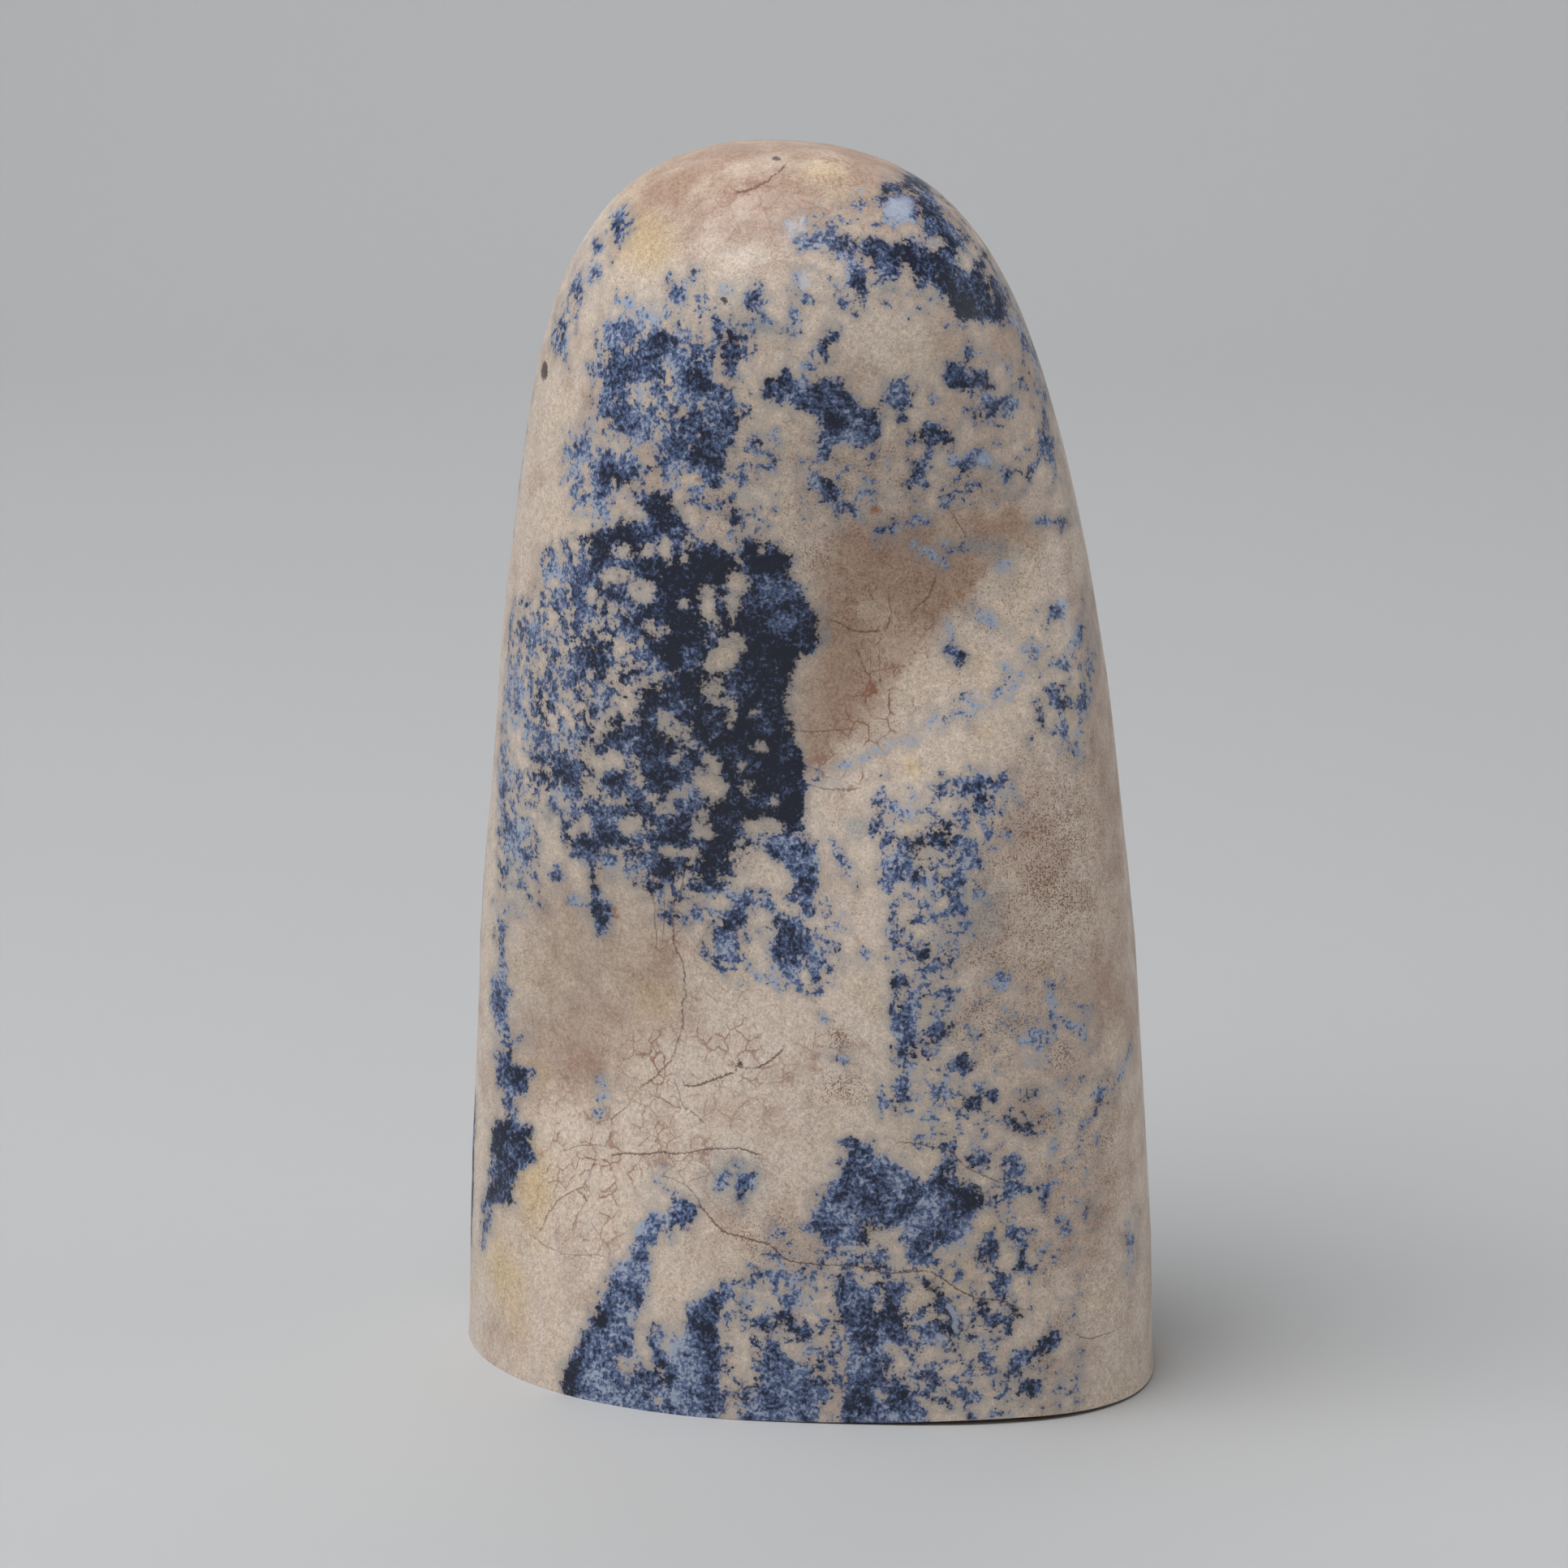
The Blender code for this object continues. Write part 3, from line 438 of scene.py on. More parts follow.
# Islands of feldspar left inside the blue: centre across and up, half length, half width, tilt in degrees
ISLANDS = (
    (-16.9, 84.9, 1.4, 1.1, 0), (-14, 86.8, 1.2, 1.1, 0), (-11, 84.7, 1.1, 1.1, 0),
    (-15.3, 83.9, 0.8, 0.6, 90), (-17.3, 83.2, 0.6, 0.5, 0), (-8.3, 83, 1.6, 1.4, 0),
    (-7.3, 81.4, 1, 0.7, 0), (-16.8, 80.4, 0.8, 0.7, 0), (-14.7, 80.7, 0.9, 0.6, 0), (-13, 81, 1, 0.8, 90),
    (-11.2, 80.6, 0.8, 0.6, 90), (-17.9, 77.9, 1.2, 0.8, 20), (-16, 77.2, 1, 0.5, 90),
    (-14.7, 76.7, 0.9, 0.7, 90), (-17.2, 75, 1.1, 0.7, 0), (-11.1, 76.1, 0.5, 0.5, 0),
    (-9.2, 75.8, 1.7, 0.9, 90), (-6.6, 78, 1.3, 1.2, 0), (-6.9, 75.8, 1.2, 0.5, 90),
    (-19.6, 75.9, 0.8, 0.8, 0), (-14.2, 73.5, 1.1, 0.6, 0), (11.3, 108.3, 0.8, 0.5, -10),
    (16.6, 103.3, 0.5, 0.4, 90), (15.2, 94.2, 0.6, 0.6, 0), (9.4, 90.3, 0.7, 0.5, 0),
    (-16.6, 66, 1.5, 1, 90), (-13, 65, 0.9, 0.7, 90), (-11.8, 64.1, 1.2, 0.8, 0),
    (-8.6, 67.8, 1.2, 0.8, -20), (-7, 66, 1.2, 0.5, 90), (-4.8, 66.2, 0.5, 0.4, 0),
    (-18.8, 63.4, 1.2, 0.8, 30), (-19, 60.9, 3, 1.1, -5), (-20, 58.2, 1, 1, 0), (-15.9, 59.1, 0.8, 0.6, 0),
    (-12.4, 61.4, 0.9, 0.5, 0), (-12, 58.6, 1, 0.8, 90), (-10.6, 62.8, 0.6, 0.6, 0),
    (-6.2, 61, 0.8, 0.5, 90), (-4.4, 62.6, 0.7, 0.5, 0), (-5.6, 58.8, 0.8, 0.6, 90),
    (-3.2, 57.6, 0.7, 0.5, 90), (-20.8, 54.2, 1, 0.8, 0), (-16.2, 54.9, 1.1, 0.9, 0),
    (-17.2, 57, 0.8, 0.7, 0), (-13.8, 57, 1.3, 0.5, -25), (-16, 52.6, 1, 0.5, 0),
    (-12.9, 52.5, 0.9, 0.5, 0), (-10.6, 52.4, 0.7, 0.5, 0), (-4.2, 46.6, 1.5, 1, 0),
    (-6.2, 44.6, 0.8, 0.7, 0), (-4.8, 44, 1.6, 1.2, 90), (1.1, 45, 0.5, 0.5, 0), (9.4, 56, 1.6, 0.9, 0),
    (12.6, 57.2, 0.9, 0.6, 0), (10, 47, 1.4, 0.9, 0), (6.5, 27.8, 1.7, 0.9, 0), (17.8, 26, 1.3, 1.3, 0),
    (18.2, 22, 0.9, 0.7, 0), (17, 18.9, 1, 0.9, 0), (5.1, 19.4, 0.8, 0.5, 0), (8, 18.2, 1, 0.9, 0),
    (10.2, 25, 0.8, 0.6, 0), (-12.8, 18, 1.3, 0.25, 90), (-17, 4, 1.1, 1, 90), (-14, 8.6, 2.2, 1.5, 0),
    (-14.8, 6.6, 0.8, 0.7, 0), (-6.3, 6, 2.9, 1.4, 90), (-6.7, 1, 1, 0.7, 90), (12.3, 10.4, 0.5, 0.3, 90),
    (6.6, 11.6, 0.8, 0.6, 90), (6.9, 3, 0.8, 0.7, 90), (5.5, 7.4, 0.5, 0.5, 0),
)
# Islands with outlines of their own
BAYS = (
    ((-6.5, 73.2), (-5.9, 72.2), (-6.6, 70.6), (-7.6, 69.9), (-9.4, 69.6), (-9.6, 71), (-8.6, 72.2),
     (-7.5, 72.9)),
    ((-9.8, 62.3), (-8.7, 61.9), (-8.2, 61), (-7.9, 60), (-7.4, 59), (-7.6, 57.8), (-8.6, 57.2),
     (-9.4, 57.8), (-10.2, 58.6), (-10.6, 59.6), (-10.4, 60.6), (-9, 60.9), (-9.6, 61.4)),
    ((-10.2, 56.8), (-9.2, 56.9), (-9, 55.6), (-8.4, 54.2), (-9.2, 53.8), (-10.3, 54.4), (-11.4, 54.8),
     (-11.5, 55.3), (-10.4, 55.8)),
    ((-5.6, 55.8), (-4, 56), (-2.6, 55.8), (-2.8, 54.2), (-4.8, 54.4), (-6.2, 53.6)),
    ((-7.3, 52.4), (-5.4, 53.2), (-4.4, 52.6), (-3, 51.4), (-2.2, 50), (-2.6, 49), (-4.4, 49.6),
     (-6.4, 50.6)),
    ((10.2, 13.6), (9.2, 12.4), (8.7, 11.2), (8.9, 10.2), (9.9, 10.7), (10.9, 11.6), (11.2, 12.3),
     (10.9, 13), (10.6, 13.6)),
)

# Blue spots on the front: centre, half length, half width, tilt in degrees, depth of colour, how solid
SPOTS = (
    (-17.2, 109.1, 1.2, 0.9, 70, 0.45, 0.7), (-19.2, 107, 0.8, 0.6, 40, 0.35, 0.7),
    (-19.9, 105, 1.2, 0.8, 20, 0.3, 0.5), (-21.2, 102.8, 1.5, 0.55, 56, 0.45, 0.6),
    (-22.5, 98.6, 1.7, 0.85, 82, 0.45, 0.6), (-15.7, 102.3, 1.9, 0.9, -10, 0.15, 0.45),
    (-17, 100.1, 0.8, 0.5, 0, 0.5, 0.8), (-18, 99.2, 0.6, 0.5, 60, 0.45, 0.8),
    (-16.9, 97.1, 1.1, 0.8, -40, 0.75, 0.85), (-15, 97.9, 1.2, 0.5, 20, 0.45, 0.7),
    (-19.7, 96.4, 0.6, 0.4, 0, 0.4, 0.7), (-17.7, 95.4, 1, 0.8, 30, 0.65, 0.8),
    (-18.5, 93.2, 1, 0.6, 20, 0.55, 0.75), (-15.7, 92.1, 1.1, 0.7, 0, 0.5, 0.7),
    (-12.4, 99.4, 0.7, 0.4, -20, 0.75, 0.9), (-11.1, 100.2, 0.6, 0.3, 0, 0.5, 0.8),
    (-14, 96.9, 0.3, 0.3, 0, 0.75, 0.95), (-10.7, 97, 0.6, 0.5, -60, 0.75, 0.9),
    (-11.5, 98, 0.8, 0.4, 0, 0.6, 0.8), (-7.1, 99, 2, 0.7, 95, 0.85, 0.9),
    (-8.2, 101.5, 0.45, 0.35, 80, 0.8, 0.95), (-7, 101.8, 0.4, 0.35, 0, 0.5, 0.8),
    (-8.9, 95.5, 1.2, 0.9, -40, 0.75, 0.85), (-7, 94.4, 0.4, 0.35, 90, 0.7, 0.9),
    (-4.9, 103.8, 1.1, 1, 0, 0.65, 0.8), (-3.9, 102, 0.55, 0.4, -30, 0.6, 0.85),
    (-7.4, 104.6, 0.4, 0.4, 0, 0.25, 0.8), (-9.8, 93, 1.6, 0.6, 30, 0.65, 0.6),
    (3.2, 103.5, 0.9, 0.5, -20, 0.6, 0.9), (-1.1, 105.6, 0.55, 0.35, 80, 0.45, 0.9),
    (-0.5, 104, 0.35, 0.35, 0, 0.6, 0.9), (-1.3, 102, 0.8, 0.35, 80, 0.6, 0.9),
    (4.5, 104.9, 0.4, 0.35, 0, 0.7, 0.95), (-0.1, 97.8, 0.9, 0.5, 70, 0.35, 0.7),
    (7.9, 95.4, 1.35, 1.2, 0, 0.75, 0.85), (7.9, 95.4, 0.4, 0.35, 0, 0.2, 0.9),
    (8.2, 93.2, 0.4, 0.4, 0, 0.7, 0.9), (-20, 91, 0.5, 0.5, 0, 0.35, 0.8),
    (-17.8, 93, 1.2, 0.6, 0, 0.5, 0.7), (-15.6, 91.4, 1.2, 1.1, 0, 0.4, 0.6),
    (-17, 87.4, 0.9, 0.6, 0, 0.75, 0.85), (-15.3, 85.7, 0.5, 0.35, 0, 0.7, 0.9),
    (-13.6, 83.8, 1.4, 1.1, 80, 0.92, 0.95), (-11.8, 91, 0.9, 0.6, 20, 0.65, 0.75),
    (-13.3, 89, 0.9, 0.4, -65, 0.6, 0.75), (-5.4, 85.9, 0.4, 0.35, 0, 0.25, 0.8),
    (-6.6, 84.2, 0.7, 0.6, 0, 0.75, 0.95), (-5.3, 81.7, 0.7, 0.6, 0, 0.95, 1),
    (-3.4, 81.7, 0.4, 0.35, 0, 0.7, 0.9), (-9, 81.4, 0.8, 0.6, 0, 0.8, 0.9),
    (-3.2, 89.2, 0.7, 0.35, 80, 0.5, 0.8), (-20.8, 77.6, 1.4, 1.1, 90, 0.6, 0.85),
    (-20.6, 74.4, 1.1, 1, 0, 0.6, 0.85), (-18.7, 75.4, 0.7, 0.5, 0, 0.75, 0.9),
    (-17.5, 76.4, 0.7, 0.5, 20, 0.7, 0.9), (-18.9, 70.3, 1, 0.9, 0, 0.75, 0.9),
    (-20.9, 69.6, 1.1, 0.8, -20, 0.75, 0.9), (-21.5, 68.1, 1.3, 0.6, 5, 0.7, 0.9),
    (-20.3, 68.9, 0.8, 0.4, 80, 0.7, 0.9), (-14.2, 69.9, 0.8, 0.4, 0, 0.8, 0.9),
    (-14.3, 71.5, 0.3, 0.3, 0, 0.6, 0.9), (-16.5, 73.2, 0.8, 0.6, -30, 0.75, 0.9),
    (-23.2, 77.6, 1.5, 1.1, 40, 0.15, 0.45), (-22.8, 75.3, 0.6, 0.5, 0, 0.35, 0.7),
    (-26.9, 66.3, 2.4, 0.9, 117, 0.45, 0.55), (6.2, 86.3, 0.6, 0.3, 10, 0.35, 0.7),
    (4.8, 86.4, 0.6, 0.4, 0, 0.25, 0.6), (7.2, 82.8, 0.85, 0.55, 10, 0.8, 0.95),
    (12.6, 85.4, 0.9, 0.5, 45, 0.5, 0.7), (18, 87.6, 0.4, 0.3, 80, 0.8, 0.9),
    (9.8, 81, 0.5, 0.45, 0, 0.3, 0.7), (10.9, 80.6, 0.6, 0.4, 0, 0.3, 0.7),
    (13.2, 81, 0.6, 0.25, -5, 0.55, 0.9), (12.3, 79.7, 0.3, 0.3, 0, 0.5, 0.9),
    (17.9, 79.1, 0.7, 0.3, 80, 0.15, 0.7), (16.4, 74.3, 1.1, 0.4, -35, 0.15, 0.8),
    (12.9, 73, 0.8, 0.45, -70, 0.2, 0.8), (12.9, 71.6, 0.6, 0.55, 0, 0.85, 0.95),
    (13.6, 70.8, 0.55, 0.35, -30, 0.8, 0.95), (22.8, 74.9, 0.7, 0.65, 0, 0.12, 0.8),
    (22.6, 74.7, 0.25, 0.25, 0, 0.8, 1), (24.6, 72, 1.6, 0.5, 75, 0.5, 0.7),
    (20.7, 70.5, 0.7, 0.6, 90, 0.75, 0.85), (22.6, 70.4, 1.2, 0.5, 0, 0.5, 0.7),
    (20, 71.4, 0.9, 0.5, 10, 0.1, 0.6), (14.2, 67.4, 0.4, 0.3, 0, 0.35, 0.8),
    (23.5, 68.2, 0.3, 0.3, 0, 0.7, 0.95), (18, 70.1, 0.3, 0.3, 0, 0.2, 0.8),
    (-25.1, 61.7, 0.6, 0.5, -50, 0.6, 0.85), (-27.6, 62, 1, 0.6, 100, 0.15, 0.4),
    (-28, 57.6, 0.9, 0.4, 80, 0.55, 0.8), (-28.8, 56, 1.5, 0.6, 100, 0.4, 0.7),
    (-27.2, 55.8, 0.9, 0.5, 110, 0.5, 0.7), (-26.3, 46.8, 1.2, 0.6, 110, 0.5, 0.4),
    (-27.6, 44.6, 1, 0.35, 10, 0.35, 0.6), (-23.2, 61, 1.6, 0.6, 10, 0.5, 0.6),
    (-24.4, 59.7, 0.7, 0.5, -60, 0.75, 0.9), (-22.9, 58.2, 1, 0.9, 0, 0.75, 0.85),
    (-21.5, 58.7, 0.8, 0.6, 0, 0.8, 0.9), (-18.3, 59, 0.9, 0.6, 0, 0.7, 0.85),
    (-17.3, 58.4, 0.8, 0.8, 0, 0.8, 0.9), (-13, 59.4, 1.3, 1, 0, 0.97, 1),
    (-14, 62, 1.4, 0.8, -10, 0.65, 0.8), (-17, 62.9, 1.9, 1, 5, 0.9, 0.95),
    (-10.2, 61.2, 0.9, 0.6, -10, 0.8, 0.9), (-21.2, 55.2, 0.7, 0.3, 15, 0.7, 0.9),
    (-17.2, 56, 0.8, 0.6, 0, 0.75, 0.8), (-15.5, 57.4, 0.5, 0.5, 0, 0.8, 0.9),
    (-11.3, 56.3, 1.7, 0.8, 80, 0.85, 0.95), (-16.5, 53.2, 2, 0.5, -8, 0.75, 0.85),
    (-21.3, 46.9, 0.6, 0.4, 0, 0.4, 0.7), (-23.5, 49, 0.7, 0.4, 80, 0.5, 0.7),
    (-18.3, 51, 0.4, 0.3, 0, 0.5, 0.8), (-17, 50.1, 1, 0.3, 0, 0.4, 0.7),
    (-12.6, 46.6, 0.9, 0.7, 70, 0.6, 0.5), (-10.2, 46.7, 0.9, 0.6, -10, 0.8, 0.9),
    (-11.2, 45.8, 0.5, 0.25, 0, 0.7, 0.9), (-9.2, 47.3, 0.9, 0.7, 50, 0.3, 0.4),
    (-3.6, 41.6, 0.9, 0.4, 20, 0.35, 0.5), (-3.9, 40.8, 1, 0.4, 0, 0.25, 0.5),
    (-7.5, 55, 1.6, 1.2, -20, 0.9, 0.95), (7.7, 58, 0.5, 0.35, 80, 0.6, 0.9),
    (9.7, 58, 0.5, 0.4, 0, 0.05, 0.8), (9.5, 57, 0.4, 0.3, 0, 0.8, 0.95),
    (10.4, 57.3, 0.5, 0.25, -20, 0.5, 0.9), (9.4, 54.8, 1.2, 0.5, -5, 0.85, 0.95),
    (8.8, 52.8, 0.9, 0.6, -50, 0.75, 0.85), (10.5, 51.4, 0.9, 0.45, -65, 0.7, 0.9),
    (11.6, 52.4, 0.4, 0.3, 0, 0.6, 0.9), (13, 51.4, 0.9, 0.7, 0, 0.8, 0.85),
    (13.6, 52.1, 0.4, 0.4, 0, 0.75, 0.9), (12.2, 54.9, 1.1, 0.5, -75, 0.85, 0.95),
    (13.5, 53.4, 1, 0.5, -15, 0.7, 0.9), (15.2, 53.8, 0.4, 0.35, 40, 0.6, 0.9),
    (8.2, 49.5, 0.4, 0.3, 90, 0.5, 0.9), (9.2, 43.8, 0.7, 0.6, 0, 0.5, 0.6),
    (13.6, 49.3, 0.7, 0.6, 60, 0.75, 0.9), (11.5, 43, 0.4, 0.3, 80, 0.6, 0.9),
    (8, 41.9, 0.6, 0.6, 0, 0.75, 0.9), (9.9, 41.6, 0.8, 0.3, 80, 0.5, 0.8),
    (7.8, 43.8, 0.25, 0.25, 0, 0.5, 0.9), (15, 50.4, 0.6, 0.3, 20, 0.4, 0.5),
    (16.8, 49.8, 0.5, 0.4, 0, 0.35, 0.4), (14.2, 47, 0.5, 0.4, 0, 0.3, 0.5),
    (18, 54.8, 0.6, 0.4, 0, 0.2, 0.5), (17.2, 42, 0.9, 0.7, 90, 0.15, 0.6),
    (2.6, 46.8, 0.9, 0.5, 80, 0.1, 0.6), (4.9, 44, 0.7, 0.6, 0, 0.1, 0.5),
    (3.2, 52.9, 0.8, 0.25, -60, 0.35, 0.8), (23.2, 63.8, 1.3, 0.5, -60, 0.45, 0.6),
    (25.2, 66.2, 3, 0.5, 80, 0.5, 0.6), (11.6, 65.4, 0.4, 0.25, 0, 0.25, 0.8),
    (14.8, 66.2, 0.5, 0.3, 60, 0.35, 0.8), (2.1, 44.8, 0.6, 0.5, 0, 0.85, 0.95),
    (1.2, 59.8, 0.7, 0.3, 0, 0.3, 0.5), (-19.5, 27.6, 0.8, 0.4, 80, 0.15, 0.3),
    (-14, 20.9, 0.8, 0.4, 50, 0.4, 0.7), (-11.2, 19, 1.1, 0.8, 60, 0.65, 0.9),
    (-5.8, 22.3, 0.9, 0.6, 70, 0.8, 0.9), (-2.8, 17.4, 0.8, 0.5, -30, 0.55, 0.7),
    (1.1, 38.2, 0.35, 0.35, 0, 0.35, 0.9), (2.9, 34.6, 0.35, 0.25, 0, 0.25, 0.9),
    (11.7, 37.4, 0.9, 0.7, 0, 0.8, 0.9), (12.7, 40.4, 0.8, 0.5, -30, 0.55, 0.85),
    (8.5, 38, 0.5, 0.4, 0, 0.6, 0.9), (8.8, 35.6, 0.9, 0.35, 85, 0.6, 0.9),
    (15.2, 36.6, 0.5, 0.35, 80, 0.5, 0.8), (14, 34.5, 1.1, 1, 0, 0.55, 0.7),
    (14.2, 34.2, 0.45, 0.4, 0, 0.85, 0.95), (13.1, 33.1, 0.4, 0.35, 0, 0.2, 0.8),
    (8.5, 31, 0.9, 0.4, 80, 0.65, 0.85), (12, 31.8, 1.1, 0.7, 15, 0.25, 0.6),
    (11, 29.5, 1.2, 1, 0, 0.2, 0.35), (15, 29.8, 1, 0.35, -15, 0.5, 0.7),
    (15.3, 31, 0.3, 0.2, 0, 0.85, 0.95), (15.7, 32.2, 0.6, 0.5, 0, 0.6, 0.7),
    (16.8, 31.2, 0.7, 0.6, 0, 0.85, 0.95), (20.3, 31.3, 1, 0.5, 10, 0.65, 0.8),
    (23.1, 32, 0.3, 0.3, 0, 0.5, 0.8), (20.8, 35.8, 1.8, 0.9, 85, 0.2, 0.4),
    (19.5, 36.3, 0.3, 0.3, 0, 0.45, 0.8), (25.4, 37.2, 1.2, 0.3, 85, 0.45, 0.6),
    (22, 39.8, 1.4, 0.5, 80, 0.2, 0.5), (17.8, 39.2, 0.6, 0.5, 0, 0.2, 0.5),
    (19.2, 28.2, 1.1, 0.5, -30, 0.85, 0.95), (20.8, 27.2, 0.5, 0.4, 10, 0.75, 0.9),
    (27, 29.8, 1, 0.35, 80, 0.55, 0.7), (29, 31.4, 1, 0.4, 60, 0.4, 0.6), (16, 27.6, 0.5, 0.5, 0, 0.4, 0.7),
    (10.4, 27.4, 0.7, 0.6, 0, 0.35, 0.6), (12.8, 26.5, 0.7, 0.7, 0, 0.55, 0.8),
    (15.8, 25.2, 0.9, 0.8, 0, 0.75, 0.85), (12.9, 25, 0.8, 0.6, 80, 0.7, 0.85),
    (18.9, 24.2, 1.2, 1.1, 0, 0.75, 0.85), (19, 22.2, 1.3, 1, 0, 0.55, 0.6),
    (16.9, 21.4, 0.5, 0.4, 0, 0.85, 0.95), (14.8, 21.9, 1, 0.9, 0, 0.98, 1),
    (13.4, 22.4, 0.8, 0.5, 0, 0.85, 0.95), (6.8, 22.4, 0.6, 0.5, 90, 0.85, 0.95),
    (4.8, 21.8, 0.9, 0.8, 0, 0.75, 0.9), (3.9, 26.4, 0.8, 0.7, 0, 0.75, 0.9),
    (3.8, 24.4, 0.9, 0.7, -30, 0.7, 0.85), (8.9, 20.7, 0.5, 0.3, 0, 0.9, 1),
    (4.8, 18.2, 0.7, 0.6, 0, 0.88, 0.95), (3, 18.2, 1, 0.9, 70, 0.7, 0.9),
    (9.9, 16.3, 1.3, 1.2, 0, 0.5, 0.6), (16.6, 17, 1.3, 0.9, 70, 0.75, 0.85),
    (21.9, 20.8, 0.4, 0.3, 0, 0.35, 0.8), (22, 22.8, 0.5, 0.25, 80, 0.3, 0.7),
    (25.8, 19.6, 0.5, 0.25, 80, 0.8, 0.95), (23.2, 18.4, 0.6, 0.3, 80, 0.5, 0.7),
    (24.4, 18, 0.8, 0.3, 0, 0.3, 0.5), (6.3, 16, 1, 0.8, -20, 0.8, 0.9),
    (-16.6, 7.2, 1.6, 0.6, 85, 0.7, 0.85), (-13.8, 5.6, 1.6, 0.7, -60, 0.75, 0.85),
    (-14.6, 2.8, 1.9, 1.2, -40, 0.65, 0.8), (-13.8, 8, 0.3, 0.3, 0, 0.4, 0.8),
    (-12.6, 7.9, 0.5, 0.25, 0, 0.35, 0.7), (-11.4, 6, 1.8, 1.4, 90, 0.35, 0.9),
    (-10.4, 2, 1.9, 1.8, 90, 0.25, 0.9), (-8.6, 6, 3.2, 0.6, 92, 0.75, 0.9),
    (-4.2, 9.4, 1.6, 0.7, -5, 0.75, 0.85), (-3, 9.2, 0.7, 0.4, -10, 0.95, 1),
    (-4.9, 11.2, 0.8, 0.3, 0, 0.4, 0.7), (-5, 13, 0.4, 0.4, 0, 0.55, 0.8),
    (-3.4, 13.6, 1.2, 0.9, -30, 0.6, 0.7), (-6, 1.6, 1.2, 0.5, 85, 0.7, 0.8),
    (2, 16, 0.5, 0.4, 0, 0.5, 0.8), (-1.6, 13.8, 1.1, 1, 0, 0.5, 0.6), (-1.2, 11.6, 1.4, 1, 0, 0.2, 0.6),
    (-0.2, 8.2, 1, 0.6, -10, 0.65, 0.8), (-2, 10, 0.8, 0.8, 0, 0.8, 0.9), (8.2, 3.2, 1.2, 1, 90, 0.8, 0.9),
    (4.6, 3.6, 0.9, 0.9, 0, 0.7, 0.85), (5.4, 6.6, 1.5, 1.2, 0, 0.65, 0.8),
    (8, 13.1, 1.1, 0.9, 0, 0.75, 0.9), (9.4, 8.9, 0.8, 0.6, 0, 0.8, 0.9), (11, 9.3, 0.9, 0.8, 0, 0.4, 0.7),
    (14.7, 8.7, 0.6, 0.45, 70, 0.8, 0.9), (13.7, 7.1, 0.4, 0.35, 0, 0.85, 0.95),
    (12.6, 7.2, 0.35, 0.2, 0, 0.6, 0.9), (17.8, 13.2, 1.1, 0.7, 65, 0.8, 0.9),
    (18.9, 10.9, 0.8, 0.45, -40, 0.85, 0.95), (22.8, 8.6, 0.6, 0.3, 20, 0.4, 0.6),
    (18.9, 5.1, 1, 0.55, 30, 0.9, 0.95), (14.4, 3.1, 1.4, 0.9, 0, 0.6, 0.7),
    (15.1, 1, 0.5, 0.5, 0, 0.8, 0.9), (18, 1.2, 1.1, 0.5, 15, 0.6, 0.65),
    (23.2, 2.2, 0.8, 0.5, 80, 0.6, 0.7), (25, 3, 1.2, 0.45, 80, 0.6, 0.75),
    (30.1, 14.6, 1.2, 0.2, 88, 0.3, 0.7), (23.9, 10.6, 0.5, 0.5, 0, 0.15, 0.4),
    (-3.4, 77.2, 0.8, 1, 0, 0.72, 0.9), (-1.4, 74.5, 1.2, 0.9, 0, 0.72, 0.9),
)

